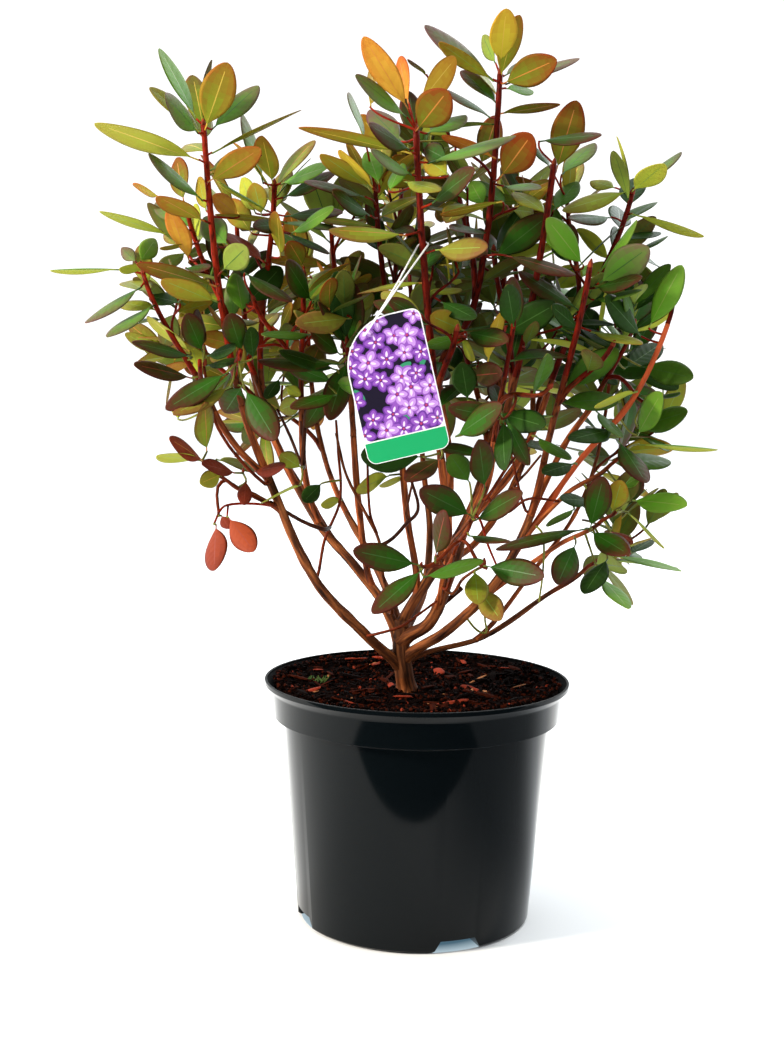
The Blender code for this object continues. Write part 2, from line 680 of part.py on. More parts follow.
def grow_twigs(paths, sections, garden):
    """The twigs of every mass, before any leaf, so that all the leaves stay clear of them."""
    masses = {}
    widths = {bough.name: bough.thin * MM for bough in BOUGHS}
    for shoot in SHOOTS:
        tip = millimetres(shoot.tip)
        width = widths[shoot.mass]
        if shoot.mass not in masses:
            end, along = paths[shoot.mass].at(1)
            path = shoot_path(end + along * GAP, along, tip)
            masses[shoot.mass] = []
        else:
            start, along = masses[shoot.mass][0][0].at(shoot.along)
            path = shoot_path(start, along + FORK_SPREAD * (tip - start).normalized(), tip)
            width *= FORK_SHARE
        name = f"twig_{shoot.mass}_{len(masses[shoot.mass])}"
        radii = even_taper(path, width / math.sqrt(3), width * STEM_TAPER / math.sqrt(3))
        twig = bpy.data.objects.new(name, tube_mesh(name, path, radii, sections[TWIG_SIDES]))
        twig.matrix_world = Matrix.Translation(path.points[0])
        garden.add(shoot.mass, twig)
        masses[shoot.mass].append((path, twig))
    return masses


def grow_far_leaves(masses, garden):
    """The leaves that give the crown its outline, as a list for each mass."""
    leaves = {mass: [] for mass in masses}
    for far in FAR_LEAVES:
        path = masses[far.mass][far.shoot][0]
        root, _ = path.at(1 - far.depth * MM / path.length)
        reach = millimetres(far.tip) - root
        frame = leaf_frame(root, reach.normalized(), UP, 0)
        leaf = try_leaf(far.mass, frame, reach.length, 0, garden)
        if leaf:
            leaves[far.mass].append(leaf)
            garden.add(far.mass, leaf)
        else:
            print(f"no room for the far leaf of {far.mass} to {far.tip}")
    return leaves


def grow_spiral(mass, path, years, dice, garden):
    """The leaves of one shoot, spiralling down it from its tip. A leaf that finds no room is skipped."""
    leaves = []
    turn = dice.uniform(0, 2 * math.pi)
    for depth, lift in leaf_spots(years, path.length):
        turn += GOLDEN_ANGLE
        for attempt in range(LEAF_TRIES):
            length = dice.uniform(*LEAF_LENGTH) * (1 - TRY_SHRINK * attempt)
            droop = dice.uniform(*LEAF_DROOP)
            azimuth = turn + dice.uniform(-TURN_PLAY, TURN_PLAY) + TRY_TURN * attempt * (-1) ** attempt
            tilt = math.radians(lift + dice.uniform(-LIFT_PLAY, LIFT_PLAY) + TRY_LIFT * attempt)
            frame = spiral_frame(path, depth, azimuth, tilt, dice.uniform(-LEAF_ROLL, LEAF_ROLL))
            leaf = try_leaf(mass, frame, length, droop, garden)
            if leaf:
                leaves.append(leaf)
                garden.add(mass, leaf)
                break
    return leaves


def fuse_mass(mass, twigs, leaves, collection, material):
    """One solid of a mass's twigs and leaves."""
    stem, *forks = [twig for _, twig in twigs]
    stem.name = f"foliage_{mass}"
    collection.objects.link(stem)
    stem.data.materials.append(material)
    joined = bpy.data.collections.new(f"joined_{mass}")
    cutters.children.link(joined)
    for part in forks + leaves:
        joined.objects.link(part)
    add_boolean(stem, "UNION", joined)
    apply_modifiers(stem)
    for part in list(joined.objects):
        mesh = part.data
        bpy.data.objects.remove(part)
        bpy.data.meshes.remove(mesh)
    bpy.data.collections.remove(joined)
    keep_largest_body(stem)


def round_point(middle, radius, angle):
    return middle[0] + radius * math.cos(angle), middle[1] + radius * math.sin(angle)


def tag_outline():
    """Corners of the tag's outline, each rounded, the top left one widely."""
    half_width, half_height = TAG_SIZE[0] / 2, TAG_SIZE[1] / 2
    corners = (
        (1, 1, TAG_CORNER),
        (-1, 1, TAG_SHOULDER),
        (-1, -1, TAG_CORNER),
        (1, -1, TAG_CORNER),
    )
    outline = []
    for i, (side, end, rounding) in enumerate(corners):
        middle = (side * (half_width - rounding), end * (half_height - rounding))
        for k in range(TAG_CORNER_STEPS + 1):
            outline.append(round_point(middle, rounding, math.pi / 2 * (i + k / TAG_CORNER_STEPS)))
    return outline


def tag_placing():
    """The tag's turn and place: its width along local X, its height along local Y, its back along -Z."""
    stand = Matrix.Rotation(math.pi / 2, 4, "X")
    turn = Matrix.Rotation(TAG_TURN, 4, "Z") @ Matrix.Rotation(TAG_TILT, 4, "Y")
    return Matrix.Translation(TAG_MIDDLE) @ turn @ stand


def make_tag(collection, material):
    curve = bpy.data.curves.new("tag", "CURVE")
    curve.dimensions = "2D"
    curve.fill_mode = "BOTH"
    curve.extrude = TAG_THICKNESS / 2
    angles = [2 * math.pi * k / TAG_HOLE_STEPS for k in range(TAG_HOLE_STEPS)]
    hole = [round_point(TAG_HOLE, TAG_HOLE_RADIUS, angle) for angle in angles]
    for outline in (tag_outline(), hole):
        spline = curve.splines.new("POLY")
        spline.points.add(len(outline) - 1)
        spline.use_cyclic_u = True
        for point, (x, y) in zip(spline.points, outline):
            point.co = (x, y, 0, 1)
    tag = new_object("tag", mesh_of_curve(new_object("tag", curve, cutters)), collection, material)
    tag.matrix_world = tag_placing()
    return tag


def loop_places(stem_path):
    """The loop's closed line: round the stem at its top and through the tag's hole at its foot."""
    stem, stem_along = stem_path.at(LOOP_STEM_SHARE)
    placing = tag_placing()
    hole = placing @ Vector((*TAG_HOLE, 0))
    normal = placing.to_3x3() @ Vector((0, 0, 1))
    rise = stem - hole
    rise = (rise - normal * rise.dot(normal)).normalized()
    above = hole + rise * LOOP_HANG
    over = (above - stem).cross(stem_along).normalized()
    if over.dot(normal) < 0:
        over = -over
    stem_half = LOOP_STEM_WIDTH / math.sqrt(3) + LOOP_RADIUS + GAP
    tag_half = TAG_THICKNESS / 2 + LOOP_RADIUS + GAP
    drop = smooth_path([stem, above], above - stem, -rise, LOOP_SPACING)
    line = Path([*drop.points, hole + rise * tag_half])
    middles = []
    for point, reach in zip(line.points, line.reach):
        share = reach / line.length
        half = stem_half + (tag_half - stem_half) * share
        middles.append((point, over.lerp(normal, share).normalized() * half))
    turns = []
    for (middle, aside), way in ((middles[-1], -rise), (middles[0], (stem - above).normalized())):
        across = aside if way.dot(rise) < 0 else -aside
        turns.append([
            middle + across * math.cos(angle) + way * aside.length * math.sin(angle)
            for angle in (math.pi / 4, math.pi / 2, 3 * math.pi / 4)
        ])
    front = [middle + aside for middle, aside in middles]
    back = [middle - aside for middle, aside in reversed(middles)]
    return front + turns[0] + back + turns[1]


def make_loop(stem_path, collection, material):
    places = loop_places(stem_path)
    curve = bpy.data.curves.new("tag_loop", "CURVE")
    curve.dimensions = "3D"
    curve.bevel_depth = LOOP_RADIUS
    curve.bevel_resolution = 1
    spline = curve.splines.new("POLY")
    spline.points.add(len(places) - 1)
    spline.use_cyclic_u = True
    for point, place in zip(spline.points, places):
        point.co = (*(place - places[0]), 1)
    mesh = mesh_of_curve(new_object("tag_loop", curve, cutters))
    loop = new_object("tag_loop", mesh, collection, material)
    loop.location = places[0]
    return loop


def clear_scene():
    for obj in list(bpy.data.objects):
        bpy.data.objects.remove(obj, do_unlink=True)


def main():
    plastic = new_material("black_plastic", (0.012, 0.012, 0.013), 0.25)
    peat = new_material("compost", (0.035, 0.018, 0.010), 0.95)
    bark = new_material("bark", (0.23, 0.11, 0.05), 0.8)
    leaf = new_material("leaf", (0.13, 0.16, 0.035), 0.45)
    card = new_material("tag_card", (0.42, 0.25, 0.55), 0.35)
    white = new_material("loop_plastic", (0.85, 0.86, 0.84), 0.4)
    sections = {sides: ring_section(sides) for sides in (TWIG_SIDES, BOUGH_SIDES, TRUNK_SIDES)}
    paths = grow_limbs(plant, bark, sections)
    garden = Garden()
    for obj in plant.objects:
        if obj.name.startswith(("trunk", "bough_")):
            garden.add("limbs", obj)
    masses = grow_twigs(paths, sections, garden)
    tag = make_tag(plant, card)
    loop = make_loop(masses["centre_front"][0][0], plant, white)
    bpy.context.view_layer.update()
    garden.add("tag", tag)
    garden.add("tag", loop)
    leaves = grow_far_leaves(masses, garden)
    for mass, twigs in masses.items():
        dice = random.Random(f"leaves of {mass}")
        counts = [shoot.leaves for shoot in SHOOTS if shoot.mass == mass]
        for (path, _), years in zip(twigs, counts):
            leaves[mass] += grow_spiral(mass, path, years, dice, garden)
        fuse_mass(mass, twigs, leaves[mass], plant, leaf)
    make_pot(plant, plastic)
    make_compost(plant, peat)
    for guide in sections.values():
        bpy.data.objects.remove(guide)


clear_scene()
plant = bpy.data.collections.new("potted_rhododendron")
cutters = bpy.data.collections.new("cutters")
bpy.context.scene.collection.children.link(plant)
bpy.context.scene.collection.children.link(cutters)
main()
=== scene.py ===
"""The looks of the potted rhododendron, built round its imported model: fine leaves, twigs and bark in place of
the plain solids, a glossy pot, crumbly compost and a printed tag.

Metres, Z up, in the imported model's frame. The tables of boughs, shoots and leaves are in millimetres, and
what they call the front view is the camera's, in places across and down. The boughs, the shoots and the rule
by which the leaves grow repeat those of the part's source.
"""

import json
import math
import random
from bisect import bisect
from collections import namedtuple

import bmesh
import bpy
import numpy as np
from mathutils import Matrix, Vector, noise
from mathutils.bvhtree import BVHTree

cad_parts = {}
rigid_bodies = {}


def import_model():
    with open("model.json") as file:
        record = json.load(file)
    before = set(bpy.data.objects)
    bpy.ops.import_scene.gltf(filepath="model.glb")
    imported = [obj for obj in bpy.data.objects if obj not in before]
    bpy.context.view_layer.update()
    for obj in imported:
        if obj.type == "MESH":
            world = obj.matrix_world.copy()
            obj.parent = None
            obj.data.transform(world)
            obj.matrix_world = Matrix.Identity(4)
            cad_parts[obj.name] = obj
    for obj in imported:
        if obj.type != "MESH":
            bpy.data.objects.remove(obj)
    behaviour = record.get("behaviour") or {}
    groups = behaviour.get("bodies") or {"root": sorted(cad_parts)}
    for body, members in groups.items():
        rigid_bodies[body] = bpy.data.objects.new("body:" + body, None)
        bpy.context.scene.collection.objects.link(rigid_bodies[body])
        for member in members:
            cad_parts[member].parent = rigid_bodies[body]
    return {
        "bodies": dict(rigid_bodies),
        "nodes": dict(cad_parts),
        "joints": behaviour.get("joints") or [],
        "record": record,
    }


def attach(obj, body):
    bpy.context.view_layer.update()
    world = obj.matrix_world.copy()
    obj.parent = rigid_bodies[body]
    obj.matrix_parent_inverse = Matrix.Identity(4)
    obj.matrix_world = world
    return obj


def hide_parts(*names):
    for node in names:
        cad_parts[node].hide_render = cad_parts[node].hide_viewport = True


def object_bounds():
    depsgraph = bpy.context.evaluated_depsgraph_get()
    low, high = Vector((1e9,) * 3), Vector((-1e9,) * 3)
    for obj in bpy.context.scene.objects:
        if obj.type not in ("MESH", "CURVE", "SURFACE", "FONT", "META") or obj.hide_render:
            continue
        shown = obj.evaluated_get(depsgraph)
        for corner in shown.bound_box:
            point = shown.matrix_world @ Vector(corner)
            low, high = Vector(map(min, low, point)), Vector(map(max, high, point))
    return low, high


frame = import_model()
cad_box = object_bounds()

MM = 0.001
UP = Vector((0, 0, 1))
GOLDEN_ANGLE = math.radians(137.5)

GAP = 0.3 * MM  # air between neighbouring solids

# Camera, fitted to the ellipses of the pot
CAMERA_PLACE = (0, -1.084, 0.409)
CAMERA_PITCH = math.radians(6.09)
CAMERA_YAW = math.radians(-1.07)
CAMERA_ROLL = math.radians(0.93)
CAMERA_LENS = 51.07
SENSOR = 36
VIEW_WIDTH = 784
VIEW_HEIGHT = 1046
VIEW_MIDDLE = (VIEW_WIDTH / 2, VIEW_HEIGHT / 2)
VIEW_REACH = CAMERA_LENS / SENSOR * VIEW_HEIGHT

# Pot
POT_HEIGHT = 178 * MM
RIM_RADIUS = 112.5 * MM
RIM_HEIGHT = 3 * MM
COLLAR_TOP = (107 * MM, 169 * MM)  # radius and height
COLLAR_FOOT = (105.3 * MM, 151 * MM)
BODY_TOP = (98 * MM, 148.5 * MM)
BASE_RADIUS = 86 * MM
BASE_ROUNDING = 2 * MM
WALL = 1.8 * MM
ROUND_STEPS = 160
POCKET_COUNT = 4
POCKET_TURN = math.radians(-68)
POCKET_WIDTH = 41 * MM
POCKET_ROOF_WIDTH = 26 * MM
POCKET_HEIGHT = 9 * MM
POCKET_DEPTH = 25 * MM
DRAIN_RADIUS = 4 * MM

# Compost
COMPOST_TOP = 166 * MM
COMPOST_RADIUS = 104.6 * MM
BANK = 10.5 * MM
COMPOST_FLOOR = 11.2 * MM
CHIP_COUNT = 300
CRUMB_COUNT = 3000
EDGE_CRUMBS = 420  # against the pot's wall and rim

# Trunk
TRUNK_FOOT = (-7, 9, 162)
TRUNK_KNEES = ((-10, 3, 184), (-12, 0, 200))
TRUNK_TOP = (-12, 3, 221)
TRUNK_FLARE = 21
TRUNK_THICK = 14
TRUNK_THIN = 11.5
FLARE_SHARE = 0.24

Bough = namedtuple("Bough", "name parent along knees tip thick thin")
BOUGHS = (
    Bough(
        "left_low", "trunk", 0.34,
        ((-36, -12, 210), (-74, -30, 254), (-108, -45, 331)), (-125, -50, 379), 8, 5
    ),
    Bough(
        "left_up", "trunk", 0.62, ((-25, 6, 231), (-45, 12, 256), (-76, 20, 291)), (-109, 20, 353), 8, 4.8
    ),
    Bough("centre_back", "trunk", 0.9, ((5, 15, 246), (27, 30, 278)), (41, 34, 309), 9.4, 5.2),
    Bough(
        "centre", "trunk", 0.72, ((9, -10, 222), (22, -22, 257), (34, -30, 298)), (45, -32, 325), 10, 5.4
    ),
    Bough("right", "trunk", 0.48, ((22, -20, 218), (54, -38, 255), (76, -45, 300)), (86, -48, 343), 8, 4.8),
    Bough("right_low", "trunk", 0.42, ((51, 24, 206), (98, 30, 238)), (125, 30, 257), 4.2, 3.2),
    Bough("back_left", "trunk", 0.8, ((-28, 40, 246),), (-70, 85, 318), 6.6, 4.2),
    Bough("back_mid", "trunk", 0.7, ((4, 42, 236), (8, 70, 280)), (2, 88, 330), 6.6, 4.2),
    Bough("left_side", "left_low", 0.66, ((-115, -50, 316),), (-131, -55, 324), 3.6, 3),
    Bough("left_outer", "left_low", 0.76, ((-128, -54, 350),), (-143, -60, 375), 4.6, 4.2),
    Bough("left_back", "left_up", 0.5, ((-88, 45, 310),), (-115, 62, 352), 5, 4.4),
    Bough("left_inner", "left_up", 0.62, ((-86, 14, 328),), (-88, 8, 367), 4.8, 4.4),
    Bough("left_spur", "left_up", 0.28, ((-44, -2, 300),), (-49, -8, 357), 5, 4.4),
    Bough("centre_left", "centre_back", 0.22, ((-10, 22, 300),), (-16, 20, 362), 5.2, 4.6),
    Bough("centre_top", "centre_back", 0.5, ((22, 12, 330),), (12, -4, 395), 5.8, 5.2),
    Bough("back_right", "centre_back", 0.4, ((46, 62, 275),), (78, 92, 325), 5.4, 4.6),
    Bough("centre_front", "centre", 0.42, ((20, -45, 300),), (14, -58, 345), 6, 5.4),
    Bough("centre_dark", "centre", 0.7, ((46, -52, 325),), (50, -66, 358), 4.6, 4),
    Bough("front", "centre", 0.26, ((18, -45, 262),), (24, -68, 280), 3.8, 3.2),
    Bough("right_twig_low", "right", 0.42, ((98, -52, 286),), (124, -60, 302), 3.6, 3),
    Bough("right_twig_mid", "right", 0.66, ((102, -54, 322),), (128, -60, 340), 3.4, 3),
    Bough("right_arch", "right", 0.55, ((108, -44, 340), (146, -50, 388)), (168, -52, 440), 4.2, 3.4),
    Bough("right_outer", "right", 0.8, ((102, -34, 356),), (122, -28, 386), 4.4, 3.8),
    Bough("right_up", "centre_back", 0.72, ((70, 18, 335),), (92, 4, 392), 5.2, 4.6),
    Bough("back_far_right", "right_low", 0.38, ((88, 62, 250),), (124, 88, 296), 3.6, 3),
)
BOUGH_SPACING = 2 * MM
BOUGH_FOLLOWS = 0.5  # its parent's direction, where it leaves
BOUGH_RISES = 0.35  # towards upright at its tip

# The shoots of each mass: how far along its stem each starts, its tip, and the leaves of each year's growth,
# the youngest first. The first grows on from its bough's tip, and the others fork from it.
Shoot = namedtuple("Shoot", "along tip leaves")
SHOOTS = {
    "left_low": (Shoot(0, (-151, -60, 568), (7, 4, 3)), Shoot(0.1, (-122, -86, 417), (7, 2))),
    "left_outer": (Shoot(0, (-192, -60, 468), (8, 5)), Shoot(0.14, (-150, -82, 410), (7, 2))),
    "left_side": (Shoot(0, (-151, -62, 341), (6,)), Shoot(0.2, (-138, -74, 304), ())),
    "left_up": (Shoot(0, (-108, -8, 535), (8, 5, 4)), Shoot(0.14, (-168, -26, 516), (8, 5, 3))),
    "left_inner": (Shoot(0, (-84, -34, 470), (8, 5)), Shoot(0.3, (-118, -44, 452), (7, 3))),
    "left_back": (Shoot(0, (-142, 44, 520), (8, 6, 4)), Shoot(0.14, (-176, 74, 424), (8, 4))),
    "left_spur": (Shoot(0, (-70, 36, 512), (8, 6, 3)), Shoot(0.22, (-52, -58, 424), (7, 4))),
    "centre_back": (Shoot(0, (62, 66, 498), (8, 5)), Shoot(0.18, (30, 74, 436), (7, 3))),
    "centre_left": (Shoot(0, (-36, -4, 533), (8, 5, 3)), Shoot(0.3, (-18, 66, 558), (8, 5, 3))),
    "centre_front": (Shoot(0, (-7, -82, 563), (9, 5, 3)), Shoot(0.18, (22, -104, 432), (7, 2))),
    "centre_top": (Shoot(0, (50, -28, 610), (8, 5, 4)), Shoot(0.3, (20, 24, 556), (8, 5, 3))),
    "centre": (Shoot(0, (87, -52, 546), (8, 5, 4)), Shoot(0.3, (50, 2, 492), (7, 4))),
    "centre_dark": (Shoot(0, (60, -98, 444), (8, 4)), Shoot(0.3, (82, -122, 396), (7, 2))),
    "front": (
        Shoot(0, (34, -104, 306), (5,)), Shoot(0.35, (2, -98, 275), (4,)),
        Shoot(0.45, (46, -96, 274), (4,)),
    ),
    "right": (Shoot(0, (109, -92, 475), (8, 5, 2)), Shoot(0.3, (128, -70, 424), (7, 2))),
    "right_up": (Shoot(0, (144, -28, 530), (8, 5, 4)), Shoot(0.35, (104, 26, 530), (8, 5, 2))),
    "right_arch": (Shoot(0, (172, -52, 468), ()),),
    "right_outer": (Shoot(0, (150, -14, 440), (8, 5)), Shoot(0.3, (158, -46, 386), (7,))),
    "right_twig_mid": (Shoot(0, (140, -66, 353), (7,)),),
    "right_twig_low": (Shoot(0, (134, -74, 312), (8,)),),
    "right_low": (Shoot(0, (142, 26, 268), (7,)), Shoot(0.4, (150, 52, 276), (4,))),
    "back_left": (Shoot(0, (-96, 122, 486), (9, 6, 4)), Shoot(0.14, (-132, 128, 392), (8, 4))),
    "back_mid": (Shoot(0, (-14, 132, 524), (9, 6, 4)), Shoot(0.16, (20, 150, 420), (8, 4))),
    "back_right": (Shoot(0, (66, 112, 536), (9, 6, 4)), Shoot(0.16, (106, 140, 422), (8, 4))),
    "back_far_right": (Shoot(0, (150, 84, 446), (9, 5)), Shoot(0.2, (166, 112, 352), (8,))),
}
MASSES = tuple(SHOOTS)
SHOOT_KNEES = {"centre_top": ((34, -13, 446), (44, -20, 502), (48, -25, 556))}  # soon upright, as it shows
STEM_WIDTHS = {bough.name: bough.thin * MM for bough in BOUGHS}

# The low leaves of the outline that stand behind the others: the mass that each grows on, how far below its
# first shoot's tip it is rooted, and where its own tip is
BACK_LEAVES = (("right_low", 3, (194, 20, 261)), ("right_low", 7, (160, 12, 234)))
STEM_TAPER = 0.78  # a twig's tip beside its foot, which is as wide as its bough's tip
FORK_SHARE = 0.9  # a fork's foot beside its stem's
TWIG_SPACING = 5 * MM
TWIG_STRAIGHT = 4 * MM
SHOOT_RISES = 0.8  # towards upright at its tip
FORK_SPREAD = 1.2  # how strongly a fork turns from its stem towards its own tip
YEAR_LENGTH = 88 * MM
WHORL_START = 1.5 * MM
WHORL_STEP = 0.8 * MM
WHORL_DEPTH = 26 * MM
WHORL_CROWDING = 1.7
YOUNG_LIFT = (64, 2)
OLD_LIFT = (34, -14)
LEAF_LENGTH = (44 * MM, 55 * MM)
LEAF_WIDTH = 0.46
LEAF_THICKNESS = 0.04
LEAF_WIDEST = 0.52
LEAF_THICKEST = 0.26
LEAF_FOLD = 0.03
LEAF_DROOP = (0.02, 0.12)
LEAF_ROLL = 0.35
LEAF_ROOT_SHARE = 0.25
LEAF_REACH = 0.6
LEAF_TRIES = 9
TRY_TURN = 0.35
TRY_LIFT = 4
TRY_SHRINK = 0.03
TURN_PLAY = 0.2
LIFT_PLAY = 9
SPACE_MARGIN = 0.7 * MM

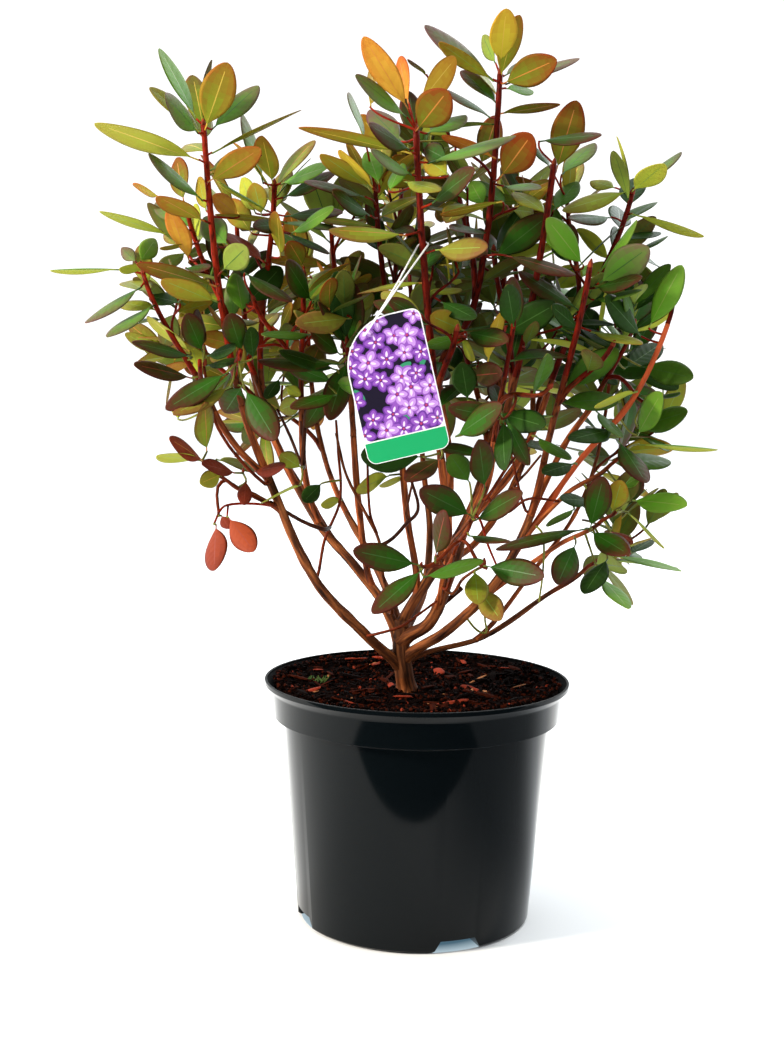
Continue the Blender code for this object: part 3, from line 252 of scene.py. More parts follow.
# The leaves that show in front, read in the front view: where each is rooted and where its tip is, the
# depth of its root in millimetres, how wide it looks in places of the view, its look, and a lean of -1 where
# it leans away from the viewer. A minus width shows its underside.
Shown = namedtuple("Shown", "root tip depth width look lean", defaults=(1,))
SHOWN = (
    # Top left shoot
    ((205, 130), (228, 62), -64, -36, "olive_gold"), ((197, 120), (161, 47), -60, 16, "green_tip", -1),
    ((199, 134), (167, 95), -64, 19, "mauve_green"), ((211, 130), (258, 84), -52, 20, "mauve_green", -1),
    ((200, 160), (95, 120), -62, -23, "pale_gold"), ((211, 153), (300, 107), -62, -7, "olive"),
    ((208, 182), (261, 147), -64, -26, "olive_orange"), ((206, 172), (264, 146), -54, 18, "mauve", -1),
    ((204, 201), (150, 152), -60, 12, "mauve_green"), ((205, 221), (157, 194), -64, -18, "olive_orange"),
    ((184, 202), (178, 159), -30, -21, "olive_rust", -1), ((190, 262), (171, 208), -40, -20, "rust_gold"),
    ((172, 236), (100, 209), -40, -12, "lime"), ((160, 197), (134, 184), -30, -8, "olive_orange", -1),
    ((240, 217), (214, 196), -30, -20, "rust_gold", -1), ((222, 271), (248, 246), -74, -28, "mid"),
    ((228, 246), (203, 216), -30, 28, "mauve_green", -1), ((207, 212), (200, 178), -40, -12, "olive", -1),
    ((199, 240), (196, 205), -30, -10, "lime", -1), ((190, 245), (160, 246), -36, -6, "olive"),
    # Second shoot from the left
    ((273, 184), (263, 134), -14, -24, "olive_gold"), ((264, 184), (244, 113), -8, 14, "mauve_green", -1),
    ((280, 184), (327, 165), -10, 12, "bright"), ((282, 198), (334, 172), -12, 13, "deep_bronze"),
    ((284, 216), (342, 211), -12, 13, "deep_mauve"), ((268, 211), (219, 179), -16, -5, "lime"),
    ((287, 222), (215, 212), -16, -7, "olive"), ((281, 257), (279, 211), -20, -15, "olive_gold"),
    ((284, 224), (254, 226), -20, 15, "deep_bronze"), ((262, 216), (254, 184), -6, -22, "olive", -1),
    ((256, 214), (243, 179), 4, -18, "bright", -1), ((252, 234), (229, 200), 0, -26, "olive_gold", -1),
    ((264, 262), (228, 231), -20, 16, "rust", -1), ((300, 250), (279, 231), 0, 12, "bright", -1),
    ((289, 233), (328, 252), -8, 9, "mid_bronze"), ((304, 267), (288, 240), -30, -22, "olive_rust"),
    ((290, 234), (332, 207), -20, 11, "bright"),
    # Left shoot
    ((122, 269), (50, 268), -60, -5, "lime"), ((145, 269), (119, 267), -64, -10, "lime"),
    ((140, 262), (156, 238), -58, 20, "bright_mauve", -1), ((136, 262), (121, 247), -56, 14, "mauve", -1),
    ((217, 286), (137, 261), -74, -15, "olive_rust"), ((218, 302), (161, 278), -72, -22, "olive"),
    ((142, 286), (84, 321), -62, 11, "mauve_tip"), ((155, 304), (106, 335), -62, 9, "mauve_green"),
    ((181, 303), (149, 295), -50, 16, "deep", -1), ((185, 268), (210, 266), -50, 8, "deep_mauve"),
    ((186, 282), (162, 261), -46, 9, "mauve", -1), ((243, 314), (236, 272), -30, 24, "bright", -1),
    ((246, 305), (282, 266), -24, 30, "deep", -1), ((244, 272), (292, 300), -40, 12, "deep_mauve"),
    ((259, 318), (252, 284), -10, 24, "rust_deep", -1),
    # Left, below
    ((191, 352), (149, 314), -40, -13, "pale_gold"), ((193, 357), (133, 341), -70, 14, "deep_bronze"),
    ((193, 378), (135, 363), -72, 14, "purple"), ((203, 353), (187, 315), -68, 24, "deep_bronze"),
    ((204, 347), (200, 309), -60, 12, "purple", -1), ((242, 353), (230, 315), -66, 25, "deep_bronze"),
    ((253, 359), (251, 328), -60, 16, "deep"), ((206, 356), (235, 346), -66, 11, "deep"),
    ((228, 372), (165, 408), -82, 22, "mid_purple"), ((231, 386), (173, 413), -76, 17, "olive_purple"),
    ((242, 386), (224, 414), -60, 30, "deep_bronze", -1), ((244, 388), (275, 439), -84, 31, "deep_rim"),
    ((207, 452), (206, 404), -66, 21, "olive_rust"), ((204, 461), (171, 438), -74, 15, "rust_gold"),
    ((201, 460), (157, 453), -70, -11, "lime"), ((236, 473), (203, 463), -72, 13, "rust_deep"),
    ((222, 474), (199, 484), -74, -18, "pale_gold"), ((216, 459), (259, 466), -50, 11, "olive", -1),
    ((252, 472), (284, 465), -50, 13, "rust_deep"), ((302, 468), (281, 455), -40, 18, "olive"),
    ((246, 480), (244, 504), -72, 15, "rust_deep"), ((216, 524), (213, 569), -78, 21, "rust"),
    ((228, 517), (253, 550), -80, 25, "rust_bright"), ((221, 515), (229, 528), -74, 12, "rust_deep"),
    ((301, 484), (260, 501), -30, -5, "lime"), ((322, 483), (304, 501), -10, 17, "deep"),
    ((342, 500), (320, 504), 10, -11, "lime"), ((190, 366), (163, 366), -40, -12, "rust_gold"),
    ((206, 365), (237, 360), -50, 8, "deep"), ((200, 375), (193, 350), -40, -22, "bright", -1),
    ((178, 420), (178, 400), -30, -16, "lime", -1),
    # Middle left
    ((312, 302), (288, 262), -40, 22, "mid_bronze"), ((341, 355), (312, 330), -50, 19, "deep_mauve"),
    ((341, 364), (258, 358), -54, 15, "deep_bronze"), ((338, 370), (280, 350), -48, 14, "deep"),
    ((337, 394), (292, 407), -60, 16, "deep_rim"), ((303, 401), (279, 410), -20, 20, "olive", -1),
    ((312, 334), (263, 333), -60, 10, "mid"), ((352, 318), (297, 323), -66, 24, "olive_purple"),
    ((280, 378), (266, 398), -30, 13, "deep"), ((285, 386), (301, 396), 0, -12, "lime"),
    # Middle top shoot
    ((409, 110), (365, 35), -84, -26, "orange"), ((418, 104), (454, 58), -80, -25, "gold_olive", -1),
    ((416, 131), (449, 89), -90, -38, "orange_olive"),
    ((409, 104), (401, 58), -76, -17, "orange_rust", -1), ((370, 108), (371, 70), -70, -10, "gold", -1),
    ((408, 118), (357, 74), -86, 15, "mauve_green"), ((402, 142), (369, 108), -60, 26, "mauve", -1),
    ((412, 153), (299, 124), -86, -15, "olive_gold"), ((411, 150), (371, 124), -80, 14, "deep_mauve"),
    ((413, 175), (373, 150), -86, 10, "mauve_green"), ((372, 188), (321, 152), -50, -19, "olive"),
    ((373, 187), (342, 148), -54, -10, "gold"), ((379, 184), (368, 150), -46, 20, "bright", -1),
    ((389, 192), (402, 162), -50, 15, "bright", -1), ((366, 197), (305, 180), -52, 10, "deep_mauve"),
    ((371, 216), (334, 191), -48, 15, "mid_bronze"), ((365, 140), (352, 92), -40, 8, "mauve_green", -1),
    ((431, 204), (473, 169), -88, 20, "deep_mauve"), ((404, 181), (440, 189), -94, 13, "olive"),
    ((427, 163), (515, 133), -84, 12, "mauve_green"), ((426, 134), (466, 113), -76, 18, "mauve_green", -1),
    ((448, 160), (424, 147), -60, 22, "mid_bronze", -1), ((449, 176), (426, 158), -60, -24, "olive", -1),
    ((407, 235), (329, 228), -86, 15, "olive_rust"), ((452, 243), (486, 252), -60, 19, "deep_bronze"),
    # Right top shoot
    ((500, 66), (506, 7), -28, -28, "gold"), ((496, 64), (484, 36), -22, -13, "mid", -1),
    ((494, 80), (426, 23), -26, 18, "mauve", -1), ((494, 81), (440, 40), -32, -15, "olive"),
    ((502, 84), (558, 59), -34, -31, "olive_rust"), ((503, 76), (545, 52), -24, 14, "mauve", -1),
    ((505, 84), (579, 56), -16, 9, "mauve", -1), ((505, 88), (534, 90), -26, 10, "bright", -1),
    ((492, 118), (449, 88), -20, 8, "deep_mauve", -1), ((427, 75), (409, 58), -40, -6, "olive_rust"),
    ((496, 158), (443, 133), -30, -11, "orange_rust"),
    ((480, 167), (496, 117), -10, -27, "olive_rust", -1),
    ((500, 178), (533, 133), -48, -37, "brown_olive"), ((503, 186), (540, 187), -26, 8, "mauve_green"),
    ((484, 206), (470, 181), 0, 22, "bright", -1), ((502, 201), (440, 212), -46, -9, "olive_gold"),
    ((507, 206), (478, 179), 0, 16, "mid", -1),
    # Next shoot to the right
    ((556, 172), (577, 100), -10, -34, "olive_rust"), ((538, 141), (601, 133), -40, 10, "deep_mauve"),
    ((561, 175), (594, 141), -4, 17, "mauve_green", -1), ((550, 167), (537, 147), 0, 9, "deep", -1),
    ((629, 191), (562, 209), -30, 17, "olive"), ((632, 191), (665, 162), -34, -22, "lime_green"),
    ((634, 190), (680, 150), -26, 10, "mauve_green", -1), ((631, 213), (705, 234), -30, -7, "lime_green"),
    ((598, 274), (635, 219), -40, 10, "lime_green"), ((598, 284), (648, 248), -44, 34, "mauve_green"),
    ((584, 266), (548, 219), -44, 26, "bright"), ((553, 211), (577, 180), 0, 20, "mid", -1),
    ((616, 188), (590, 180), 10, 13, "olive", -1), ((612, 217), (570, 217), -10, 10, "mid_bronze"),
    ((505, 255), (576, 273), -50, 15, "purple"), ((581, 311), (520, 270), -50, 16, "deep_mauve"),
    ((579, 329), (553, 306), -60, 16, "deep"), ((493, 259), (549, 215), -24, 30, "mid_bronze", -1),
    ((434, 250), (486, 246), -80, 22, "olive_purple"), ((594, 288), (640, 277), -40, 15, "deep_mauve"),
    ((593, 300), (640, 289), -36, 8, "mid"),
    # Right
    ((642, 337), (607, 296), -40, 21, "deep"), ((635, 323), (625, 294), -36, 10, "mid"),
    ((648, 329), (681, 265), -50, 26, "bright"), ((624, 369), (662, 342), -10, 24, "deep", -1),
    ((640, 366), (692, 377), -20, 25, "mid"), ((637, 428), (686, 411), -24, 22, "mid"),
    ((637, 436), (660, 393), -40, 22, "bright"), ((638, 444), (718, 447), -40, -6, "lime"),
    ((637, 391), (594, 404), -54, -8, "lime_green"), ((616, 429), (570, 438), -60, 18, "deep"),
    ((536, 436), (570, 458), -60, 11, "mid"), ((618, 440), (647, 481), -60, 19, "deep_mauve"),
    ((575, 463), (543, 472), -64, 15, "deep"), ((590, 331), (642, 342), -44, 8, "olive"),
    ((596, 410), (622, 436), -50, 9, "mid"),
    # Right, below
    ((590, 529), (603, 478), -72, 28, "deep_rim"), ((612, 513), (622, 479), -66, -22, "olive"),
    ((590, 531), (628, 553), -74, 24, "deep_rim"), ((611, 531), (632, 543), -66, 10, "rust_deep"),
    ((576, 543), (558, 583), -74, 27, "deep_rim"), ((608, 558), (584, 592), -72, 20, "deep"),
    ((601, 577), (629, 607), -74, 15, "bright"), ((591, 501), (561, 498), -66, 14, "deep"),
    ((575, 508), (547, 525), -60, 8, "mid"), ((587, 528), (495, 547), -72, 12, "deep_mauve"),
    ((612, 555), (682, 569), -70, 8, "bright"), ((631, 500), (686, 504), -66, 21, "bright"),
    ((628, 512), (666, 546), -50, -5, "lime_green"), ((622, 487), (640, 476), -60, 10, "bright"),
    # Front, below
    ((472, 516), (421, 490), -100, 30, "deep_rim"), ((474, 521), (521, 492), -100, 21, "deep_mauve"),
    ((435, 557), (444, 512), -104, 21, "purple"), ((419, 565), (354, 550), -106, 27, "deep_rim"),
    ((423, 569), (372, 612), -108, 23, "mid_purple"), ((423, 577), (482, 560), -106, 15, "mid"),
    ((485, 566), (543, 576), -108, 28, "deep_rim"), ((475, 570), (478, 603), -104, 24, "olive"),
    ((478, 588), (500, 619), -104, 24, "olive_purple"), ((468, 535), (509, 540), -100, 8, "deep_mauve"),
    ((441, 458), (406, 480), -100, 20, "purple"), ((424, 457), (362, 455), -80, 34, "deep"),
    ((390, 475), (355, 489), 20, -16, "lime_green"), ((406, 478), (379, 484), 30, -9, "lime_green"),
    ((485, 489), (480, 441), -96, 25, "deep_mauve"), ((470, 483), (451, 456), -94, 24, "mid"),
    ((455, 437), (500, 405), -123, 25, "green_rust"), ((498, 413), (544, 425), -90, 25, "deep"),
    ((468, 401), (462, 364), -80, 25, "deep"), ((468, 376), (501, 373), -84, 25, "purple"),
    ((466, 332), (507, 340), -70, 21, "deep_bronze"), ((465, 331), (429, 315), -70, -24, "olive"),
    ((464, 335), (428, 346), -68, 15, "mid"), ((440, 301), (475, 317), -70, 17, "deep"),
    ((487, 363), (499, 311), -50, -15, "gold"), ((461, 338), (476, 360), -72, -11, "lime_green"),
    ((525, 346), (535, 320), -60, -13, "mid_bronze"), ((500, 336), (556, 304), -50, 30, "deep"),
    ((514, 328), (508, 286), -107, 23, "deep"),
)

# Gaps that the sky shows through: place across and down the front view, and reach
GAPS = (
    (130, 150, 18), (240, 50, 22), (295, 60, 40), (335, 95, 16), (470, 22, 18), (610, 90, 34),
    (650, 125, 14), (130, 203, 10), (112, 240, 8), (92, 292, 6), (95, 375, 26), (135, 425, 18),
    (120, 480, 22), (160, 520, 24), (180, 560, 22), (255, 600, 34), (200, 610, 40), (280, 560, 14),
    (300, 545, 12), (350, 585, 12), (330, 620, 26), (340, 530, 12), (560, 632, 26), (605, 640, 30),
    (660, 600, 24), (700, 475, 16), (712, 520, 20), (720, 395, 24), (700, 330, 24), (700, 280, 22),
    (700, 190, 20), (685, 215, 8), (530, 232, 8), (600, 225, 6), (521, 158, 6), (457, 132, 6),
    (236, 190, 6), (322, 232, 7), (345, 238, 6), (500, 545, 8), (512, 596, 10), (520, 540, 8),
    (545, 500, 8), (380, 520, 14), (405, 495, 8), (330, 470, 12), (455, 540, 6), (395, 615, 10),
    (450, 630, 12), (530, 640, 10), (285, 430, 8), (180, 390, 6), (150, 390, 10), (680, 250, 8),
    (575, 530, 8), (640, 520, 6), (690, 472, 12), (695, 415, 14), (572, 562, 9), (684, 545, 18),
    (692, 572, 18), (655, 580, 14), (640, 602, 20), (678, 508, 6), (668, 528, 8), (110, 215, 12),
    (100, 190, 16), (85, 330, 16), (165, 440, 14), (200, 500, 10), (530, 32, 14), (548, 338, 4),
    (702, 446, 6), (185, 182, 7), (232, 215, 6), (255, 205, 6), (190, 232, 6), (268, 150, 8),
    (160, 250, 5), (270, 232, 5),
)

# Small twigs that show: places across and down the front view with a depth,
# two widths, and a place in TWIG_SHADES
SMALL_TWIGS = (
    (((372, 635, -24), (400, 627, -30), (415, 617, -30), (437, 601, -26)), 2.4, 1.8, 1),
    (((438, 608, -8), (450, 598, -12), (462, 588, -14)), 4.2, 3.2, 3),
    (
        ((316, 584, -4), (319, 570, -4), (325, 539, -2), (340, 500, 0), (338, 448, 2), (336, 420, 4)),
        2.6, 1.8, 1,
    ),
    (
        ((392, 610, -10), (383, 575, -6), (379, 541, -6), (367, 516, -8), (346, 474, -10), (336, 433, -10)),
        2.8, 2, 2,
    ),
    (((377, 534, -6), (370, 513, -8), (367, 451, -14)), 2.2, 1.6, 1),
    (((379, 547, -6), (393, 538, -6), (406, 524, -8), (418, 510, -12), (412, 482, -16)), 3, 2.2, 3),
    (((406, 514, -8), (409, 498, -8), (413, 480, -10)), 2.2, 1.6, 2),
    (((265, 484, -52), (236, 455, -58), (218, 428, -62), (210, 404, -62), (204, 366, -64)), 2.6, 2, 1),
    (((322, 529, -30), (302, 521, -34), (283, 510, -40), (270, 502, -46)), 3.2, 2.6, 3),
    (((302, 465, -20), (290, 436, -14), (277, 409, -12)), 2.6, 2, 3),
    (((303, 466, -22), (304, 440, -24), (306, 409, -26)), 3.6, 2.8, 3),
    (((485, 500, -50), (508, 466, -54), (532, 436, -58)), 2.6, 1.8, 1),
    (((503, 513, -46), (528, 499, -50), (559, 501, -54)), 2.4, 1.8, 1),
    (((481, 522, -50), (488, 545, -52), (496, 564, -54)), 2, 1.6, 0),
    (((526, 511, -46), (517, 480, -44), (509, 442, -42)), 2.2, 1.6, 1),
    (((514, 487, -40), (527, 472, -42), (541, 455, -44)), 2.2, 1.6, 2),
    (((543, 536, -60), (543, 570, -60), (539, 602, -56)), 1.6, 1.4, 4),
    (((483, 633, -20), (485, 620, -30), (483, 607, -40)), 1.8, 1.4, 4),
    (((440, 604, -20), (446, 580, -34), (440, 560, -50), (436, 556, -60)), 3.4, 2.4, 2),
    (((446, 590, -40), (452, 570, -60), (440, 566, -84), (420, 568, -100)), 2.4, 2, 1),
    (((452, 594, -40), (462, 580, -70), (474, 571, -96), (484, 566, -104)), 2.4, 2, 2),
    (((440, 566, -44), (450, 545, -60), (462, 530, -84), (472, 518, -98)), 2.6, 2, 2),
    (((274, 506, -50), (256, 498, -58), (236, 487, -66), (218, 474, -74)), 2.6, 2.2, 1),
    (((272, 506, -50), (258, 504, -54), (234, 504, -62), (222, 508, -70), (214, 524, -76)), 1.8, 1.6, 0),
    (((228, 506, -66), (227, 517, -74)), 1.6, 1.2, 0),
    (((240, 486, -62), (246, 482, -64), (243, 473, -60)), 1.6, 1.4, 4),
)

# Buds: place across and down the front view, depth, and reach of each in millimetres
BUDS = (
    (280, 312, -58, 6), (289, 318, -60, 7), (282, 325, -60, 6), (277, 318, -56, 5), (240, 356, -78, 8),
    (466, 406, -96, 7), (380, 186, -48, 7), (519, 206, -10, 7), (420, 566, -101, 5), (484, 565, -104, 6),
    (571, 288, -40, 6), (243, 473, -60, 4), (204, 352, -64, 6), (588, 270, -64, 6),
)

# Finer twigs than the solids have, each with a small whorl of its own
FINE_TWIGS = 3  # on each shoot
FINE_LENGTH = (26 * MM, 48 * MM)
FINE_ALONG = (0.3, 0.86)
FINE_LEAVES = (5, 7)
FINE_LEAST = 3  # with fewer leaves that find room, a finer twig is left out
FINE_LEAF_LENGTH = (34 * MM, 47 * MM)
FINE_LIFT = 40
FINE_THICK = 2.2 * MM
FINE_THIN = 1.7 * MM

# Tag and its loop
TAG_SIZE = (54 * MM, 92 * MM)
TAG_THICKNESS = 0.8 * MM
TAG_SHOULDER = 34 * MM
TAG_CORNER = 6 * MM
TAG_HOLE = (-11 * MM, 36 * MM)
TAG_HOLE_RADIUS = 2.4 * MM
TAG_MIDDLE = Vector((-18, -128, 395)) * MM
TAG_TILT = math.radians(-14)
TAG_TURN = math.radians(4)
LOOP_RADIUS = 0.6 * MM
LOOP_STEM_SHARE = 0.66
LOOP_STEM_WIDTH = 5.2 * MM
LOOP_HANG = 17 * MM
LOOP_SPACING = 3 * MM


class Path:
    """A chain of points, which can be asked for the place and direction at a share of its length."""

    def __init__(self, points):
        self.points = points
        self.reach = [0.0]
        for start, end in zip(points, points[1:]):
            self.reach.append(self.reach[-1] + (end - start).length)
        self.length = self.reach[-1]

    def at(self, share):
        wanted = min(max(share, 0), 1) * self.length
        for i in range(len(self.points) - 1):
            if wanted <= self.reach[i + 1] or i == len(self.points) - 2:
                start, end = self.points[i], self.points[i + 1]
                step = (wanted - self.reach[i]) / (self.reach[i + 1] - self.reach[i])
                return start.lerp(end, step), (end - start).normalized()


def smooth_path(stations, leave, arrive, spacing):
    """The path through the stations, leaving and arriving in the given directions."""
    directions = [leave.normalized()]
    for before, after in zip(stations, stations[2:]):
        directions.append((after - before).normalized())
    directions.append(arrive.normalized())
    points = [stations[0]]
    for i in range(len(stations) - 1):
        start, end = stations[i], stations[i + 1]
        run = (end - start).length
        steps = max(2, round(run / spacing))
        for k in range(1, steps + 1):
            t = k / steps
            points.append(
                start * (1 + 2 * t) * (1 - t) ** 2
                + end * t * t * (3 - 2 * t)
                + directions[i] * run * t * (1 - t) ** 2
                - directions[i + 1] * run * t * t * (1 - t)
            )
    return Path(points)


def millimetres(place):
    return Vector(place) * MM


def trunk_path():
    stations = [millimetres(TRUNK_FOOT), *map(millimetres, TRUNK_KNEES), millimetres(TRUNK_TOP)]
    return smooth_path(stations, UP, UP, BOUGH_SPACING)


def bough_path(bough, paths):
    start, along = paths[bough.parent].at(bough.along)
    stations = [start, *map(millimetres, bough.knees), millimetres(bough.tip)]
    leave = (stations[1] - start).normalized() + BOUGH_FOLLOWS * along
    arrive = (stations[-1] - stations[-2]).normalized() + BOUGH_RISES * UP
    return smooth_path(stations, leave, arrive, BOUGH_SPACING)


def shoot_path(start, leave, tip, knees=()):
    """A twig that leaves straight, as its bough points, and turns up towards the light."""
    bend = start + leave.normalized() * TWIG_STRAIGHT
    chord = (tip - (knees[-1] if knees else bend)).normalized()
    curve = smooth_path([bend, *knees, tip], leave, chord + SHOOT_RISES * UP, TWIG_SPACING)
    return Path([start, *curve.points])


# Materials


def linear(colour):
    """The shader's colour for one given as a screen shows it, each value out of 255."""
    return tuple((value / 255) ** 2.2 for value in colour)


def mix(first, second, share):
    return tuple(a + (b - a) * share for a, b in zip(first, second))


def add_node(owner, kind, **values):
    """A new node of a material or world, with its settings and its sockets' values."""
    node = owner.node_tree.nodes.new(kind)
    for name, value in values.items():
        socket = node.inputs.get(name.replace("_", " "))
        if socket is None:
            setattr(node, name, value)
        else:
            socket.default_value = value
    return node


def link(owner, source, target):
    owner.node_tree.links.new(source, target)


def link_shader(material, source, name):
    link(material, source, material.node_tree.nodes["Principled BSDF"].inputs[name])


def new_material(name, colour, roughness, specular=0.5):
    material = bpy.data.materials.new(name)
    material.use_nodes = True
    shader = material.node_tree.nodes["Principled BSDF"]
    shader.inputs["Base Color"].default_value = (*linear(colour), 1)
    shader.inputs["Roughness"].default_value = roughness
    shader.inputs["Specular IOR Level"].default_value = specular
    material.diffuse_color = (*linear(colour), 1)
    return material


def noise_over(material, scale, detail=4, stretch=None, distortion=0, along=False):
    """Noise over the object's own space, or along its limbs, which can be stretched."""
    if along:
        place = add_node(material, "ShaderNodeAttribute", attribute_name="grain").outputs["Vector"]
    else:
        place = add_node(material, "ShaderNodeTexCoord").outputs["Object"]
    if stretch:
        mapping = add_node(material, "ShaderNodeMapping", Scale=stretch)
        link(material, place, mapping.inputs["Vector"])
        place = mapping.outputs["Vector"]
    node = add_node(material, "ShaderNodeTexNoise", Scale=scale, Detail=detail, Distortion=distortion)
    link(material, place, node.inputs["Vector"])
    return node.outputs["Fac"]


def add_bump(material, height, strength, distance, before=None):
    bump = add_node(material, "ShaderNodeBump", Strength=strength, Distance=distance)
    link(material, height, bump.inputs["Height"])
    if before:
        link(material, before.outputs["Normal"], bump.inputs["Normal"])
    link_shader(material, bump.outputs["Normal"], "Normal")
    return bump


def vary_roughness(material, fac, low, high):
    spread = add_node(material, "ShaderNodeMapRange", To_Min=low, To_Max=high)
    link(material, fac, spread.inputs["Value"])
    link_shader(material, spread.outputs["Result"], "Roughness")


def colour_ramp(material, fac, stops):
    """A colour that follows (position, colour) stops."""
    ramp = add_node(material, "ShaderNodeValToRGB")
    elements = ramp.color_ramp.elements
    while len(elements) < len(stops):
        elements.new(0.5)
    for element, (position, colour) in zip(elements, stops):
        element.position = position
        element.color = (*linear(colour), 1)
    link(material, fac, ramp.inputs["Fac"])
    return ramp.outputs["Color"]


def grained_material(name, colour, roughness, specular, grain, gloss=None, relief=None, stops=None):
    """A material that varies by a noise: its roughness over a range, its relief by a strength and height, and
    its colour by stops. The grain holds what noise_over takes."""
    material = new_material(name, colour, roughness, specular)
    fac = noise_over(material, **grain)
    if stops:
        link_shader(material, colour_ramp(material, fac, stops), "Base Color")
    if gloss:
        vary_roughness(material, fac, *gloss)
    if relief:
        add_bump(material, fac, *relief)
    return material


def arithmetic(material, operation, *terms):
    """The result of a step over outputs and plain numbers."""
    node = add_node(material, "ShaderNodeMath", operation=operation)
    for socket, term in zip(node.inputs, terms):
        if isinstance(term, (int, float)):
            socket.default_value = term
        else:
            link(material, term, socket)
    return node.outputs[0]


VEIN_SLANT = 0.3
VEIN_COUNT = 8
VEIN_STRENGTH = 0.1
VEIN_HEIGHT = 0.4 * MM
LEAF_GRAIN = 900
LEAF_GRAIN_STRENGTH = 0.08
LEAF_GLOSS = (-0.08, 0.1)  # less and more than a leaf's roughness


def leaf_material(name, colour, roughness, specular):
    """Leathery: a plain colour, side veins that bend towards the tip, and a fine uneven gloss."""
    material = new_material(name, colour, roughness, specular)
    split = add_node(material, "ShaderNodeSeparateXYZ")
    link(material, add_node(material, "ShaderNodeUVMap").outputs["UV"], split.inputs["Vector"])
    spread = arithmetic(material, "ABSOLUTE", arithmetic(material, "SUBTRACT", split.outputs["X"], 0.5))
    bend = arithmetic(material, "MULTIPLY_ADD", spread, -VEIN_SLANT, split.outputs["Y"])
    phase = arithmetic(material, "MULTIPLY", bend, 2 * math.pi * VEIN_COUNT)
    veins = add_bump(material, arithmetic(material, "SINE", phase), VEIN_STRENGTH, VEIN_HEIGHT)
    grain = noise_over(material, LEAF_GRAIN)
    add_bump(material, grain, LEAF_GRAIN_STRENGTH, VEIN_HEIGHT, veins)
    vary_roughness(material, grain, roughness + LEAF_GLOSS[0], roughness + LEAF_GLOSS[1])
    return material


SHADES = 7  # steps of colour from a leaf's foot to its tip and margins

# Colours from the foot and middle of a leaf to its tip and rim, as a screen shows them
UPPER = {
    # deep and mid are darker copies of bright, one green painted in shade and half shade
    "deep": ((38, 70, 20), (40, 44, 22)),
    "mid": ((62, 102, 28), (66, 74, 32)),
    "bright": ((90, 144, 38), (106, 124, 52)),
    "purple": ((44, 82, 20), (76, 38, 26)),
    # the mauve towards the tip is painted sheen, the sky's glint on upper faces that lean away
    "mauve": ((86, 128, 46), (104, 74, 70)),
    "olive": ((122, 138, 40), (112, 76, 38)),
    "rust": ((142, 62, 36), (106, 42, 28)),
}
UNDER = {
    "lime": ((158, 170, 56), (156, 146, 56)),
    "sage": ((122, 144, 58), (112, 104, 60)),
    # moss is the darker underside of the leaves in the crown's middle and low parts: painted shade
    "moss": ((84, 98, 38), (88, 70, 40)),
    "amber": ((134, 138, 42), (152, 86, 36)),
    "umber": ((104, 108, 34), (122, 58, 26)),
    "gold": ((198, 176, 56), (178, 122, 42)),
    "orange": ((186, 138, 52), (164, 80, 36)),
    "clay": ((142, 66, 38), (112, 48, 30)),
}
RIBS = {
    "dark": (56, 90, 34), "green": (120, 142, 58), "gold": (206, 172, 62), "orange": (178, 112, 48),
    "brown": (130, 52, 34),
}

# A leaf's look: its upper and under colours, its rib, and how far along the colours it starts and ends
Look = namedtuple("Look", "upper under rib start end")
LOOKS = {
    "deep": Look("deep", "moss", "dark", 0, 0.6),
    "deep_rim": Look("purple", "moss", "dark", -0.3, 1.6),
    "deep_bronze": Look("purple", "moss", "dark", -0.15, 1.5),
    "deep_mauve": Look("purple", "moss", "dark", 0, 1.4),
    "purple": Look("purple", "clay", "brown", 0.5, 1.2),
    "mid": Look("mid", "sage", "dark", 0, 0.7),
    "mid_bronze": Look("purple", "moss", "dark", -0.3, 1.3),
    "mid_purple": Look("purple", "moss", "dark", -0.2, 1.7),
    "bright": Look("bright", "lime", "green", 0, 0.8),
    "bright_mauve": Look("bright", "lime", "green", 0.2, 1.2),
    "green_tip": Look("bright", "lime", "green", -0.1, 1.1),
    "green_rust": Look("purple", "clay", "dark", -0.3, 1.3),
    "lime": Look("bright", "lime", "green", 0, 0.7),
    "lime_green": Look("bright", "lime", "green", 0, 1),
    "pale_gold": Look("olive", "lime", "gold", 0.2, 1.3),
    "mauve": Look("mauve", "sage", "dark", 0.3, 1.2),
    "mauve_green": Look("mauve", "sage", "dark", -0.1, 1),
    "mauve_tip": Look("mauve", "amber", "dark", 0, 1.3),
    "olive": Look("olive", "amber", "green", 0, 0.7),
    "olive_gold": Look("olive", "amber", "gold", -0.1, 1.1),
    "olive_orange": Look("olive", "amber", "orange", 0.1, 1.2),
    "olive_rust": Look("olive", "umber", "orange", -0.2, 1.3),
    "olive_purple": Look("olive", "amber", "green", 0.2, 1.3),
    "gold": Look("olive", "gold", "gold", -0.2, 0.9),
    "gold_olive": Look("olive", "gold", "gold", 0.3, 1.3),
    "brown_olive": Look("rust", "umber", "orange", 0.2, 1.7),
    "orange": Look("rust", "orange", "orange", -0.2, 0.7),
    "orange_olive": Look("rust", "umber", "orange", 0, 1.3),
    "orange_rust": Look("rust", "orange", "orange", 0.2, 1.2),
    "rust": Look("rust", "clay", "brown", 0.2, 1),
    "rust_bright": Look("rust", "clay", "brown", -0.2, 0.5),
    "rust_deep": Look("rust", "clay", "brown", 0.6, 1.3),
    "rust_gold": Look("rust", "orange", "orange", -0.2, 1),
}


def leaf_materials():
    """The materials of the leaves, and where each ramp and rib starts among them."""
    materials = []
    place = {}
    for side, ramps, roughness, specular in (("upper", UPPER, 0.5, 0.1), ("under", UNDER, 0.6, 0.05)):
        for name, (foot, tip) in ramps.items():
            place[name] = len(materials)
            for shade in range(SHADES):
                colour = mix(foot, tip, shade / (SHADES - 1))
                materials.append(leaf_material(f"leaf_{side}_{name}_{shade}", colour, roughness, specular))
    for name, colour in RIBS.items():
        place[f"rib_{name}"] = len(materials)
        materials.append(leaf_material(f"leaf_rib_{name}", colour, 0.45, 0.3))
    return materials, place


# Meshes


